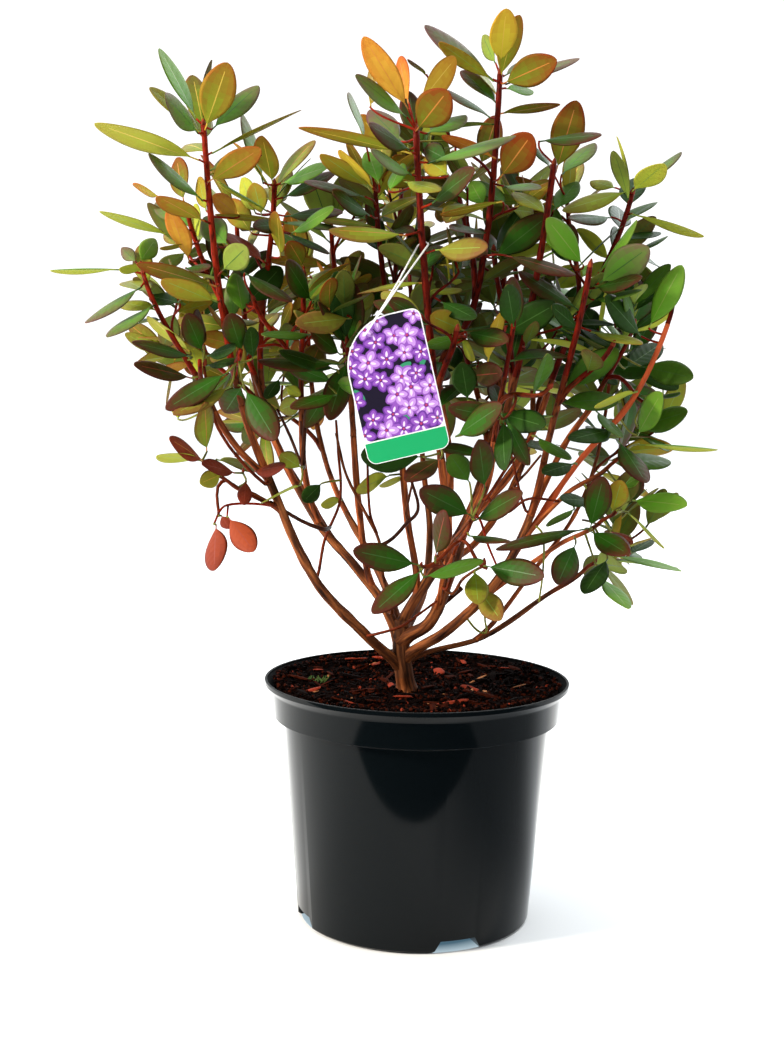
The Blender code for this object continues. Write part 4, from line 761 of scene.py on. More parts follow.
class Builder:
    """Collects the vertices, faces and material places of one joined piece."""

    def __init__(self):
        self.verts = []
        self.faces = []
        self.places = []
        self.uvs = []
        self.grain = []

    def add(self, verts, faces, places, uvs=None, grain=None):
        base = len(self.verts)
        self.verts.extend(tuple(vert) for vert in verts)
        self.faces.extend(tuple(base + i for i in face) for face in faces)
        self.places.extend(places)
        if uvs is not None:
            self.uvs.extend(uvs)
        if grain is not None:
            self.grain.extend(grain)

    def piece(self, name, materials, slot, replaces=(), smooth=True):
        mesh = bpy.data.meshes.new(name)
        mesh.from_pydata(self.verts, [], self.faces)
        for material in materials:
            mesh.materials.append(material)
        mesh.polygons.foreach_set("material_index", self.places)
        mesh.polygons.foreach_set("use_smooth", [smooth] * len(self.faces))
        if self.uvs:
            layer = mesh.uv_layers.new(name="leaf")
            loops = np.empty(len(mesh.loops), np.int32)
            mesh.loops.foreach_get("vertex_index", loops)
            layer.data.foreach_set("uv", np.array(self.uvs, np.float32)[loops].ravel())
        if self.grain:
            layer = mesh.attributes.new("grain", "FLOAT_VECTOR", "POINT")
            layer.data.foreach_set("vector", np.array(self.grain, np.float32).ravel())
        mesh.update()
        print(f"{name}: {sum(len(face) - 2 for face in self.faces)} triangles")
        settle(add_object(name, mesh), replaces)


def add_object(name, data):
    obj = bpy.data.objects.new(name, data)
    bpy.context.scene.collection.objects.link(obj)
    return obj


def settle(obj, replaces):
    """Makes a new piece ride on the plant's one body, and hides the parts that it stands for."""
    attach(obj, "root")
    if replaces:
        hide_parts(*replaces)


def evaluated_mesh(obj):
    """The mesh of a curve, or of an object with its modifiers."""
    bpy.context.view_layer.update()
    return bpy.data.meshes.new_from_object(obj.evaluated_get(bpy.context.evaluated_depsgraph_get()))


def ring_faces(rings, sides, first=0):
    """The quads between rings of vertices that follow one another, from the given vertex on."""
    faces = []
    for low in range(first, first + (rings - 1) * sides, sides):
        for k in range(sides):
            after = (k + 1) % sides
            faces.append((low + k, low + sides + k, low + sides + after, low + after))
    return faces


def closed_faces(rings, sides, outward=False):
    """The quads between the rings, and a face over either end."""
    faces = ring_faces(rings, sides)
    start, end = tuple(range(sides)), tuple(range((rings - 1) * sides, rings * sides))
    if outward:
        return [(a, d, c, b) for a, b, c, d in faces] + [start[::-1], end]
    return faces + [start, end[::-1]]


def tube_rings(path):
    """Two directions across the path at each point, turned as little as possible from one to the next."""
    points = path.points
    side = None
    rings = []
    for i, point in enumerate(points):
        before = points[max(i - 1, 0)]
        after = points[min(i + 1, len(points) - 1)]
        along = (after - before).normalized()
        if side is None:
            side = along.orthogonal().normalized()
        side = (side - along * side.dot(along)).normalized()
        rings.append((point, side, along.cross(side)))
    return rings


def add_tube(builder, path, radius_at, sides, place_at):
    """A closed tube. radius_at takes the ring and the angle, and place_at takes the ring."""
    rings = tube_rings(path)
    verts = []
    grain = []
    start = sum(path.points[0]) * 10
    for i, (point, across, over) in enumerate(rings):
        for k in range(sides):
            angle = 2 * math.pi * k / sides
            radius = radius_at(i, angle)
            verts.append(point + (across * math.cos(angle) + over * math.sin(angle)) * radius)
            grain.append((radius * math.cos(angle), radius * math.sin(angle), path.reach[i] + start))
    places = [place_at(i) for i in range(len(rings) - 1) for _ in range(sides)]
    places += [place_at(0), place_at(len(rings) - 1)]
    builder.add(verts, closed_faces(len(rings), sides, outward=True), places, grain=grain)


# Growth


def leaf_spots(years, length):
    """For each leaf of a shoot, the distance of its root from the tip and its lift in degrees."""
    spots = []
    for year, count in enumerate(years):
        high, low = YOUNG_LIFT if year == 0 else OLD_LIFT
        for i in range(count):
            share = i / max(count - 1, 1)
            depth = year * YEAR_LENGTH + WHORL_START + WHORL_STEP * i + WHORL_DEPTH * share**WHORL_CROWDING
            if depth < length - TWIG_STRAIGHT:
                spots.append((depth, high + (low - high) * share))
    return spots


def leaf_frame(root, direction, facing, roll):
    """A leaf's place and turn: its length along Z, its width along X, its upper face towards Y."""
    upper = (facing - direction * facing.dot(direction)).normalized()
    upper = Matrix.Rotation(roll, 3, direction) @ upper
    turn = Matrix((upper.cross(direction), upper, direction)).transposed()
    return Matrix.Translation(root) @ turn.to_4x4()


def spiral_frame(path, depth, azimuth, lift, roll):
    """The frame of a leaf that stands round a shoot, so far below its tip."""
    root, along = path.at(1 - depth / path.length)
    side = along.orthogonal().normalized()
    outward = Matrix.Rotation(azimuth, 3, along) @ side
    return leaf_frame(root, outward * math.cos(lift) + along * math.sin(lift), along, roll)


LOZENGE_FACES = (
    (0, 2, 4), (2, 1, 4), (1, 3, 4), (3, 0, 4),
    (2, 0, 5), (1, 2, 5), (3, 1, 5), (0, 3, 5),
)


def lozenge(frame, length, droop, margin, start=0.0):
    """The plain leaf of the solids, as a tree that finds what touches it."""
    side = LEAF_WIDTH * length / 2 + margin
    middle = LEAF_THICKNESS * length / 2 + margin
    corners = [
        (0, 0, start * length),
        (0, -droop * length, length + margin),
        (side, LEAF_FOLD * length, LEAF_WIDEST * length),
        (-side, LEAF_FOLD * length, LEAF_WIDEST * length),
        (0, middle, LEAF_THICKEST * length),
        (0, -middle, LEAF_THICKEST * length),
    ]
    if start:
        corners = [(x, y, max(z, start * length + abs(y))) for x, y, z in corners]
    return BVHTree.FromPolygons([frame @ Vector(corner) for corner in corners], LOZENGE_FACES)


Leaf = namedtuple("Leaf", "mass frame length droop width look", defaults=(None, None))


class Garden:
    """Everything that a new leaf must stay clear of, each thing with its owner and a sphere that holds
    it, and the spots of the front view that it may not hide, each with how far off it is."""

    def __init__(self, spots):
        self.things = []
        self.spots = spots

    def add_mesh(self, owner, points, faces):
        points = [Vector(point) for point in points]
        middle = sum(points, Vector()) / len(points)
        reach = max((point - middle).length for point in points)
        self.things.append((owner, middle, reach, BVHTree.FromPolygons(points, faces)))

    def add_stem(self, owner, path, radius):
        builder = Builder()
        add_tube(builder, path, lambda ring, angle: radius, 3, lambda ring: 0)
        self.add_mesh(owner, builder.verts, builder.faces)

    def add_leaf(self, leaf, start=0.0):
        middle = leaf.frame @ Vector((0, 0, leaf.length / 2))
        tree = lozenge(leaf.frame, leaf.length, leaf.droop, 0, start)
        self.things.append((leaf.mass, middle, LEAF_REACH * leaf.length, tree))

    def is_clear(self, owner, middle, reach, tree, outer_tree):
        """Whether a leaf of this owner has room: all of it beside others, its outer part among its own."""
        for other_owner, other_middle, other_reach, other in self.things:
            if (other_middle - middle).length > other_reach + reach:
                continue
            if other.overlap(outer_tree if other_owner == owner else tree):
                return False
        return True

    def hides(self, middle, tip):
        """Whether a leaf would leave the solids' box, hide what has to show, or close a gap that shows."""
        for value, low, high in zip(tip, *cad_box):
            if not low <= value <= high:
                return True
        for across, down, far in (shows_at(middle), shows_at(tip)):
            apart = np.hypot(self.spots[:, 0] - across, self.spots[:, 1] - down)
            if np.any((apart < HIDING_REACH) & (self.spots[:, 2] > far)):
                return True
            for gap_across, gap_down, reach in GAPS:
                if math.hypot(across - gap_across, down - gap_down) < reach + GAP_MARGIN:
                    return True
        return False


def try_leaf(mass, place, length, droop, garden):
    """The leaf, or None where it would touch something or hide what has to show."""
    middle = place @ Vector((0, 0, length / 2))
    if garden.hides(middle, place @ Vector((0, 0, length))):
        return None
    whole = lozenge(place, length, droop, SPACE_MARGIN)
    outer = lozenge(place, length, droop, SPACE_MARGIN / 2, LEAF_ROOT_SHARE)
    if not garden.is_clear(mass, middle, LEAF_REACH * length, whole, outer):
        return None
    leaf = Leaf(mass, place, length, droop)
    garden.add_leaf(leaf)
    return leaf


def view_axes():
    """The camera's right, upward and forward directions."""
    forward = Vector((
        math.sin(CAMERA_YAW) * math.cos(CAMERA_PITCH),
        math.cos(CAMERA_YAW) * math.cos(CAMERA_PITCH),
        -math.sin(CAMERA_PITCH),
    ))
    level = Vector((math.cos(CAMERA_YAW), -math.sin(CAMERA_YAW), 0))
    upright = level.cross(forward)
    right = level * math.cos(CAMERA_ROLL) + upright * math.sin(CAMERA_ROLL)
    over = upright * math.cos(CAMERA_ROLL) - level * math.sin(CAMERA_ROLL)
    return right, over, forward


VIEW_AXES = view_axes()


def on_ray(across, down, axis, value):
    """The point that shows at this place of the front view and has this value on the axis."""
    right, over, forward = VIEW_AXES
    ray = forward * VIEW_REACH + right * (across - VIEW_MIDDLE[0]) - over * (down - VIEW_MIDDLE[1])
    start = Vector(CAMERA_PLACE)
    return start + ray * ((value - start[axis]) / ray[axis])


def seen(across, down, depth):
    """The point at this depth, in millimetres, that shows at this place of the front view."""
    return on_ray(across, down, 1, depth * MM)


def shows_at(point):
    """Where a point shows in the front view, and how far off it is."""
    right, over, forward = VIEW_AXES
    away = point - Vector(CAMERA_PLACE)
    far = away.dot(forward)
    scale = VIEW_REACH / far
    return VIEW_MIDDLE[0] + away.dot(right) * scale, VIEW_MIDDLE[1] - away.dot(over) * scale, far


SHOWN_LENGTH = 48 * MM  # a leaf that looks shorter leans
SHOWN_STRETCH = 1.5  # but is so much longer than it looks at most
SHOWN_WIDTH = 0.4  # of its length, at least and at most
SHOWN_WIDEST = 0.62
SHOWN_DROOP = 0.03
SHOWN_FRONT = -164 * MM
SHOWN_ROOT = 0.2  # of such a leaf's length that others may touch


def shown_leaf(shown):
    """The leaf of the table, turned about its length until it looks as wide as measured."""
    root = seen(*shown.root, shown.depth)
    tip = seen(*shown.tip, shown.depth)
    flat = (tip - root).length
    seen_width = abs(shown.width) * flat / math.dist(shown.root, shown.tip)
    length = max(flat, min(SHOWN_LENGTH, flat * SHOWN_STRETCH))
    eye = Vector(CAMERA_PLACE)
    ray = (tip - eye).normalized()
    towards = eye - root
    nearest = -ray.dot(towards)
    spare = max(length**2 - towards.length_squared + nearest**2, 0)
    reach = max(nearest - shown.lean * math.sqrt(spare), (SHOWN_FRONT - CAMERA_PLACE[1]) / ray.y)
    tip = eye + ray * reach
    along = (tip - root).normalized()
    towards = (towards - along * towards.dot(along)).normalized()
    aside = along.cross(towards)
    if aside.z < 0:
        aside = -aside
    width = min(max(SHOWN_WIDTH, seen_width / length), SHOWN_WIDEST)
    turn = math.acos(min(seen_width / (width * length), 1))
    upper = aside * math.sin(turn) + towards * math.cos(turn) * math.copysign(1, shown.width)
    return Leaf("shown", leaf_frame(root, along, upper, 0), length, SHOWN_DROOP, width, shown.look)


HIDING_REACH = 17  # places of the front view
GAP_MARGIN = 8
BARE_MASSES = ("left_side", "front", "right_arch")  # all their leaves are in the table of those that show
BARE_SHOOTS = ("left_low", "left_up", "centre_front", "centre_top", "centre", "right", "right_arch")
BARE_BOUGHS = ("right_arch", "left_outer", "left_low")
BARE_FROM = 0.3  # of such a shoot's length
BARE_STEPS = 23
SHOWN_SHARES = (0.2, 0.4, 0.6, 0.8)


def view_spots(shown, paths, shoots):
    """The spots of the leaves in the table and of the shoots that show bare, which no other leaf may hide."""
    spots = []
    for leaf in shown:
        spots += [shows_at(leaf.frame @ Vector((0, 0, share * leaf.length))) for share in SHOWN_SHARES]
    for path in [shoots[mass][0] for mass in BARE_SHOOTS] + [paths[name] for name in BARE_BOUGHS]:
        for k in range(BARE_STEPS + 1):
            point, _ = path.at(BARE_FROM + (1 - BARE_FROM) * k / BARE_STEPS)
            spots.append(shows_at(point))
    return np.array(spots)


def grow_paths():
    """The paths of the trunk and boughs by name, and the paths of each mass's shoots."""
    paths = {"trunk": trunk_path()}
    for bough in BOUGHS:
        paths[bough.name] = bough_path(bough, paths)
    shoots = {}
    for mass, (first, *forks) in SHOOTS.items():
        end, along = paths[mass].at(1)
        knees = [millimetres(knee) for knee in SHOOT_KNEES.get(mass, ())]
        stem = shoot_path(end, along, millimetres(first.tip), knees)
        shoots[mass] = [stem]
        for fork in forks:
            start, along = stem.at(fork.along)
            tip = millimetres(fork.tip)
            shoots[mass].append(shoot_path(start, along + FORK_SPREAD * (tip - start).normalized(), tip))
    return paths, shoots


def grow_spiral(mass, path, years, dice, garden):
    """The leaves of one shoot, spiralling down it from its tip. A leaf that finds no room is skipped."""
    turn = dice.uniform(0, 2 * math.pi)
    for depth, lift in leaf_spots(years, path.length):
        turn += GOLDEN_ANGLE
        for attempt in range(LEAF_TRIES):
            length = dice.uniform(*LEAF_LENGTH) * (1 - TRY_SHRINK * attempt)
            droop = dice.uniform(*LEAF_DROOP)
            azimuth = turn + dice.uniform(-TURN_PLAY, TURN_PLAY) + TRY_TURN * attempt * (-1) ** attempt
            tilt = math.radians(lift + dice.uniform(-LIFT_PLAY, LIFT_PLAY) + TRY_LIFT * attempt)
            place = spiral_frame(path, depth, azimuth, tilt, dice.uniform(-LEAF_ROLL, LEAF_ROLL))
            leaf = try_leaf(mass, place, length, droop, garden)
            if leaf:
                yield leaf
                break


def grow_whorl(mass, path, dice, garden):
    """The leaves of one of the finer twigs, close below its tip."""
    turn = dice.uniform(0, 2 * math.pi)
    count = dice.randint(*FINE_LEAVES)
    for i in range(count):
        turn += GOLDEN_ANGLE
        depth = WHORL_START + 2 * WHORL_STEP * i
        lift = YOUNG_LIFT[0] + (YOUNG_LIFT[1] - YOUNG_LIFT[0]) * i / count
        for attempt in range(LEAF_TRIES):
            length = dice.uniform(*FINE_LEAF_LENGTH) * (1 - TRY_SHRINK * attempt)
            tilt = math.radians(lift + dice.uniform(-LIFT_PLAY, LIFT_PLAY) + TRY_LIFT * attempt)
            azimuth = turn + TRY_TURN * attempt * (-1) ** attempt
            place = spiral_frame(path, depth, azimuth, tilt, dice.uniform(-LEAF_ROLL, LEAF_ROLL))
            leaf = try_leaf(mass, place, length, dice.uniform(*LEAF_DROOP), garden)
            if leaf:
                yield leaf
                break


def grow_fine(mass, path, dice, garden):
    """A finer twig somewhere on the shoot, with its leaves, where enough of them find room."""
    start, along = path.at(dice.uniform(*FINE_ALONG))
    side = Matrix.Rotation(dice.uniform(0, 2 * math.pi), 3, along) @ along.orthogonal().normalized()
    length = dice.uniform(*FINE_LENGTH)
    direction = (side + along * math.tan(math.radians(FINE_LIFT))).normalized()
    twig = shoot_path(start, direction + along, start + direction * length)
    whorl = list(grow_whorl(mass, twig, dice, garden))
    if len(whorl) < FINE_LEAST:
        return [], []
    garden.add_stem(mass, twig, FINE_THICK / 2)
    return whorl, [twig]


def grow_leaves(paths, shoots):
    """All the leaves, those of the table first, and the finer twigs that bear some of the others."""
    leaves = [shown_leaf(Shown(*row)) for row in SHOWN]
    garden = Garden(view_spots(leaves, paths, shoots))
    for name, node in frame["nodes"].items():
        if name.startswith(("trunk", "bough_", "tag")):
            points = [vert.co for vert in node.data.vertices]
            garden.add_mesh("limbs", points, [face.vertices for face in node.data.polygons])
    for mass, mass_paths in shoots.items():
        for path in mass_paths:
            garden.add_stem(mass, path, STEM_WIDTHS[mass] / 2)
    for leaf in leaves:
        garden.add_leaf(leaf, SHOWN_ROOT)
    for mass, depth, tip in BACK_LEAVES:
        path = shoots[mass][0]
        root, _ = path.at(1 - depth * MM / path.length)
        reach = millimetres(tip) - root
        leaves.append(Leaf(mass, leaf_frame(root, reach.normalized(), UP, 0), reach.length, 0))
        garden.add_leaf(leaves[-1])
    leafy = [mass for mass in MASSES if mass not in BARE_MASSES]
    for mass in leafy:
        dice = random.Random(f"leaves of {mass}")
        for path, shoot in zip(shoots[mass], SHOOTS[mass]):
            leaves += grow_spiral(mass, path, shoot.leaves, dice, garden)
    fine = []
    for mass in leafy:
        dice = random.Random(f"fine twigs of {mass}")
        for path, shoot in zip(shoots[mass], SHOOTS[mass]):
            for _ in range(FINE_TWIGS if shoot.leaves else 0):
                whorl, twig = grow_fine(mass, path, dice, garden)
                leaves += whorl
                fine += twig
    return leaves, fine


# Leaves

LEAF_ROWS = (
    0, 0.05, 0.1, 0.125, 0.16, 0.21, 0.27, 0.34, 0.42, 0.5,
    0.58, 0.66, 0.74, 0.81, 0.87, 0.92, 0.96, 0.985, 1,
)
LEAF_COLUMNS = (-1, -0.78, -0.45, -0.035, 0.035, 0.45, 0.78, 1, 0.78, 0.45, 0.035, -0.035, -0.45, -0.78)
UPPER_COLUMNS = 7  # the faces over the top come first, and those below follow
PETIOLE = 0.1
PETIOLE_HALF = 0.7 * MM
PETIOLE_TAPER = 0.75
BLADE_THICKNESS = 0.4 * MM
RIB_THICKNESS = 0.8 * MM
RIB_THINNING = 1.4  # times the rib's thickness at a leaf's foot, and one less at its tip
RIB_SPREAD = 0.2
RIB_END = 0.86
TIP_SHARE = 0.62  # of the way from a leaf's first colour to its last at its tip
RIM_SHARE = 0.42  # and at its rim
MOTTLE = 0.4  # of a step of colour, from face to face
FOOT_FULLNESS = 0.82  # exponents of the blade's outline, less is blunter
TIP_FULLNESS = 0.55
BLADE_SKEW = 1.06
BLADE_WIDTHS = (0.37, 0.44)  # of its length
BLADE_FOLDS = (0.1, 0.4)
BLADE_ROLLS = (0.12, 0.3)
BLADE_TWIST = 0.3
SHOWN_STILLNESS = 0.4  # of the other leaves' fold and twist
LEAF_PIECES = 5  # the last holds the leaves of the table


def leaf_template():
    """Arrays of station, column and underside for each vertex, and the faces of a leaf."""
    count = len(LEAF_COLUMNS)
    stations = np.repeat(LEAF_ROWS, count)
    columns = np.tile(LEAF_COLUMNS, len(LEAF_ROWS))
    under = np.tile(np.arange(count) > UPPER_COLUMNS, len(LEAF_ROWS))
    return stations, columns, under, closed_faces(len(LEAF_ROWS), count)


def leaf_points(leaf, width, fold, roll, twist, template):
    """The vertices of a leaf, folded along its rib, with its rims rolled under, and twisted."""
    stations, columns, under, _ = template
    blade = np.clip((stations - PETIOLE) / (1 - PETIOLE), 0, 1)
    fullness = FOOT_FULLNESS + (TIP_FULLNESS - FOOT_FULLNESS) * blade
    bulge = np.maximum(np.sin(math.pi * blade**BLADE_SKEW), 0)
    half = width * leaf.length / 2 * bulge**fullness
    half = np.maximum(half, PETIOLE_HALF * (1 - PETIOLE_TAPER * np.clip(stations, 0.5, 1)))
    x = columns * half
    spread = np.abs(columns)
    rise = half * (fold * spread - roll * spread**2)
    centre = -leaf.droop * leaf.length * stations**2
    thick = np.where(spread < RIB_SPREAD, RIB_THICKNESS * (RIB_THINNING - stations), BLADE_THICKNESS)
    y = centre + rise - under * thick
    turn = twist * stations
    across = x * np.cos(turn) - (y - centre) * np.sin(turn)
    over = centre + x * np.sin(turn) + (y - centre) * np.cos(turn)
    matrix = np.array(leaf.frame)
    return np.stack([across, over, stations * leaf.length], 1) @ matrix[:3, :3].T + matrix[:3, 3]


ANY = math.inf
# The looks dealt out over each part of the crown, after its least and most X and its least Z in millimetres.
# The first part that holds a leaf's root counts.
# The lower and inner parts get the deep, darker looks: painted shade of the crown's inside
CROWN_LOOKS = (
    (-ANY, 130, 500, ("olive_gold", "olive_rust", "mauve_green", "olive", "olive_gold", "deep_mauve")),
    (-ANY, -60, 350, ("olive", "olive_gold", "olive_rust", "olive_orange", "mauve_green", "mid_bronze")),
    (-ANY, -60, -ANY, ("mid_bronze", "olive_gold", "olive", "rust_gold")),
    (-ANY, 60, 430, ("olive", "mid_bronze", "deep_bronze", "deep_mauve", "olive_rust", "deep")),
    (60, ANY, 380, ("bright", "mid", "deep", "deep", "deep_rim", "mid")),
    (60, ANY, -ANY, ("mid", "deep", "deep_rim", "olive")),
    (-ANY, ANY, -ANY, ("deep_rim", "deep", "deep_bronze", "mid_bronze", "deep_rim")),
)


def look_of(leaf, dice):
    """A leaf's own look, or one of those of its part of the crown."""
    if leaf.look:
        return leaf.look
    roll = dice.random()
    x, _, z = leaf.frame.translation / MM
    for least, most, floor, looks in CROWN_LOOKS:
        if least < x < most and z > floor:
            return looks[int(roll * len(looks))]


def face_places(look, place, dice):
    """The material of each face of a leaf."""
    look = LOOKS[look]
    rib = place[f"rib_{look.rib}"]
    places = []
    for row in range(len(LEAF_ROWS) - 1):
        station = (LEAF_ROWS[row] + LEAF_ROWS[row + 1]) / 2
        for k, column in enumerate(LEAF_COLUMNS):
            spread = (abs(column) + abs(LEAF_COLUMNS[(k + 1) % len(LEAF_COLUMNS)])) / 2
            if station < PETIOLE or spread < RIB_SPREAD and station < RIB_END:
                places.append(rib)
                continue
            share = TIP_SHARE * station**2 + RIM_SHARE * spread**2
            level = (look.start + (look.end - look.start) * share) * (SHADES - 1)
            level = min(max(round(level + dice.uniform(-MOTTLE, MOTTLE)), 0), SHADES - 1)
            places.append(place[look.upper if k < UPPER_COLUMNS else look.under] + level)
    return places + [rib, rib]


def piece_of(mass):
    """The number of the piece that takes the leaves of a mass, or those of the table."""
    if mass == "shown":
        return LEAF_PIECES - 1
    return MASSES.index(mass) * (LEAF_PIECES - 1) // len(MASSES)


def make_leaves(leaves):
    materials, place = leaf_materials()
    template = leaf_template()
    uvs = np.stack([(template[1] + 1) / 2, template[0]], 1).tolist()
    dice = random.Random("looks")
    builders = [Builder() for _ in range(LEAF_PIECES)]
    for leaf in leaves:
        width = leaf.width or dice.uniform(*BLADE_WIDTHS)
        fold = dice.uniform(*BLADE_FOLDS)
        roll = dice.uniform(*BLADE_ROLLS)
        twist = dice.uniform(-BLADE_TWIST, BLADE_TWIST)
        if leaf.mass == "shown":
            fold *= SHOWN_STILLNESS
            twist *= SHOWN_STILLNESS
        points = leaf_points(leaf, width, fold, roll, twist, template)
        places = face_places(look_of(leaf, dice), place, dice)
        builders[piece_of(leaf.mass)].add(points.tolist(), template[3], places, uvs)
    for i, builder in enumerate(builders):
        replaced = [f"foliage_{mass}" for mass in MASSES if piece_of(mass) == i]
        builder.piece(f"leaves_{i}", materials, "foliage", replaced)


# Twigs

TWIG_SIDES = 8
TWIG_SHADES = (
    ("young_shoot", (128, 34, 12)), ("older_shoot", (100, 40, 18)), ("twig_bark", (104, 54, 30)),
    ("dark_twig", (66, 36, 24)), ("green_twig", (112, 112, 50)), ("bud", (120, 50, 30)),
    ("shaded_shoot", (92, 22, 8)),
)
YOUNG_SHOOT, OLDER_SHOOT, TWIG_BARK, _, GREEN_TWIG, BUD, SHADED_SHOOT = range(len(TWIG_SHADES))
TWIG_FLECKS = ((0.34, 0.5), (0.47, 0.95), (0.6, 1.05), (0.74, 1.35))  # where in the noise, and brightness
TWIG_GRAIN = {"scale": 600, "detail": 6, "stretch": (1, 1, 0.25), "along": True}
CROWN_FROM = 0.4  # the height above which shoots are red
RED_DEPTH = 0.2
SHADED_FROM = -60 * MM  # to the right of this the shoots are a deeper, darker red: painted shade
SCAR_COUNT = 14  # of leaf scars in each hundred millimetres
SCAR_SWELL = 0.4
TWIG_SWELL = 0.12
SEEDS = 100
BUDDED_LENGTH = 50 * MM
TIP_BUD = (6 * MM, 1.9 * MM)
BUD_SLIMNESS = 0.28
# Rings of a bud, whose scales overlap: share of its length, and of its radius
BUD_SHAPE = (
    (0, 0.5), (0.15, 0.85), (0.3, 1), (0.34, 0.93), (0.55, 0.88), (0.6, 0.78), (0.8, 0.5), (0.95, 0.2),
)
JOINT_WEIGHTS = np.array((1.7, 1, 1.5))
SMALL_TWIG_SPACING = 3 * MM
STALK_THICK = 1.7 * MM
STALK_THIN = 1.3 * MM
STALK_SPACING = 2 * MM
STALK_TURN = 0.8  # towards its leaf, where it arrives
RED_STALKS_FROM = 0.42


def make_twigs(paths, shoots, fine, leaves):
    materials = []
    for name, colour in TWIG_SHADES:
        flecks = [(position, [value * share for value in colour]) for position, share in TWIG_FLECKS]
        materials.append(
            grained_material(name, colour, 0.6, 0.08, TWIG_GRAIN, (0.4, 0.65), (0.5, 0.5 * MM), flecks)
        )
    builder = Builder()
    dice = random.Random("twigs")
    stems = list(paths.values())
    for mass, mass_paths in shoots.items():
        for n, path in enumerate(mass_paths):
            stems.append(path)
            thick = STEM_WIDTHS[mass] * (1 if n == 0 else FORK_SHARE)
            add_twig(builder, path, thick / 2, thick * STEM_TAPER / 2, dice.uniform(0, SEEDS))
            tip, along = path.at(1)
            if path.length > BUDDED_LENGTH:
                add_bud(builder, tip - along * MM, along, *TIP_BUD)
    for path in fine:
        stems.append(path)
        add_twig(builder, path, FINE_THICK / 2, FINE_THIN / 2, dice.uniform(0, SEEDS))
    spots = np.array([point for path in stems for point in path.points])
    for stations, thick, thin, shade in SMALL_TWIGS:
        places = [seen(*station) for station in stations]
        foot = joint(places[0], spots)
        if (foot - places[0]).length > thick * MM:
            places.insert(0, foot)
        path = smooth_path(places, places[1] - places[0], places[-1] - places[-2], SMALL_TWIG_SPACING)
        spots = np.vstack([spots, path.points])
        add_twig(builder, path, thick * MM / 2, thin * MM / 2, dice.uniform(0, SEEDS), shade)
    for leaf in leaves:
        if leaf.mass == "shown":
            add_stalk(builder, leaf, spots, dice)
    for across, down, depth, reach in BUDS:
        lean = Vector((dice.uniform(-0.4, 0.4), dice.uniform(-0.5, 0), 1)).normalized()
        foot = joint(seen(across, down, depth), spots)
        add_bud(builder, foot, lean, reach * MM, reach * MM * BUD_SLIMNESS)
    builder.piece("twigs", materials, "bark")


def joint(place, spots):
    """Where a twig or stalk joins the stems: their nearest spot, above all as the front shows it."""
    apart = (spots - np.array(place)) * JOINT_WEIGHTS
    return Vector(spots[np.argmin((apart**2).sum(axis=1))])


def add_twig(builder, path, thick, thin, seed, shade=None):
    """A twig with small swellings where leaves have stood, redder towards its tip."""
    def radius_at(ring, angle):
        share = path.reach[ring] / path.length
        swell = 1 + TWIG_SWELL * noise.noise(Vector((path.reach[ring] * 90, seed, angle / 3)))
        scar = math.sin(path.reach[ring] * SCAR_COUNT * 20 * math.pi + seed + angle)
        return (thick + (thin - thick) * share) * swell * (1 + SCAR_SWELL * max(scar - 0.7, 0))

    def place_at(ring):
        if shade is not None:
            return shade
        depth = path.length - path.reach[ring]
        if path.points[ring].z > CROWN_FROM:
            young = YOUNG_SHOOT if path.points[ring].x < SHADED_FROM else SHADED_SHOOT
            return young if depth < RED_DEPTH else OLDER_SHOOT
        return OLDER_SHOOT if depth < RED_DEPTH / 2 else TWIG_BARK

    add_tube(builder, path, radius_at, TWIG_SIDES, place_at)


def add_stalk(builder, leaf, spots, dice):
    """The stalk of a leaf of the table, from the stem that it joins, unless it stands on the stem."""
    root = leaf.frame.translation
    foot = joint(root, spots)
    away = root - foot
    if away.length < STALK_THICK:
        return
    along = leaf.frame.to_3x3() @ Vector((0, 0, 1))
    arrive = away.normalized() + STALK_TURN * along
    path = smooth_path([foot, root + along * MM], away.normalized(), arrive, STALK_SPACING)
    shade = YOUNG_SHOOT if root.z > RED_STALKS_FROM else GREEN_TWIG
    add_twig(builder, path, STALK_THICK / 2, STALK_THIN / 2, dice.uniform(0, SEEDS), shade)


def add_bud(builder, foot, along, length, radius):
    """A pointed bud of overlapping scales, whose edges show as rings."""
    path = Path([foot + along * length * share for share, _ in BUD_SHAPE])
    add_tube(builder, path, lambda ring, angle: radius * BUD_SHAPE[ring][1], TWIG_SIDES, lambda ring: BUD)


# Bark

# Each bark's colours, by the noise
BARKS = (
    ("bark", ((0.3, (42, 23, 14)), (0.46, (88, 48, 26)), (0.6, (132, 74, 39)), (0.76, (178, 110, 62)))),
    ("young_bark", ((0.32, (58, 28, 16)), (0.5, (128, 62, 30)), (0.68, (184, 98, 50)))),
    ("trunk_bark", ((0.3, (44, 26, 17)), (0.45, (80, 46, 28)), (0.6, (114, 68, 40)), (0.76, (152, 92, 54)))),
)
OLD_BARK, YOUNG_BARK, RUDDY_BARK, TRUNK_BARK = range(4)
BARK_GRAIN = {"scale": 420, "detail": 9, "stretch": (1, 1, 0.11), "distortion": 0.3, "along": True}
RUDDY_GRAIN = {"scale": 400, "detail": 5, "stretch": (1, 1, 0.3), "along": True}
COLLAR_SWELL = 0.35
COLLAR_SHARE = 0.12
OLD_SHARE = 0.8  # of a main bough's length that bears old bark
ROOT_SHARE = 0.3  # of the trunk's length, below which its bark is like the boughs'
TRUNK_SIDES = 40
BOUGH_SIDES = 18


def trunk_radius(share):
    plain = TRUNK_THICK + (TRUNK_THIN - TRUNK_THICK) * share
    flare = max(0, 1 - share / FLARE_SHARE) ** 2
    return (plain + (TRUNK_FLARE - plain) * flare) * MM / 2


def bough_radius(bough, share):
    thick, thin = bough.thick * MM / 2, bough.thin * MM / 2
    return (thick + (thin - thick) * share) * (1 + COLLAR_SWELL * max(0, 1 - share / COLLAR_SHARE) ** 2)


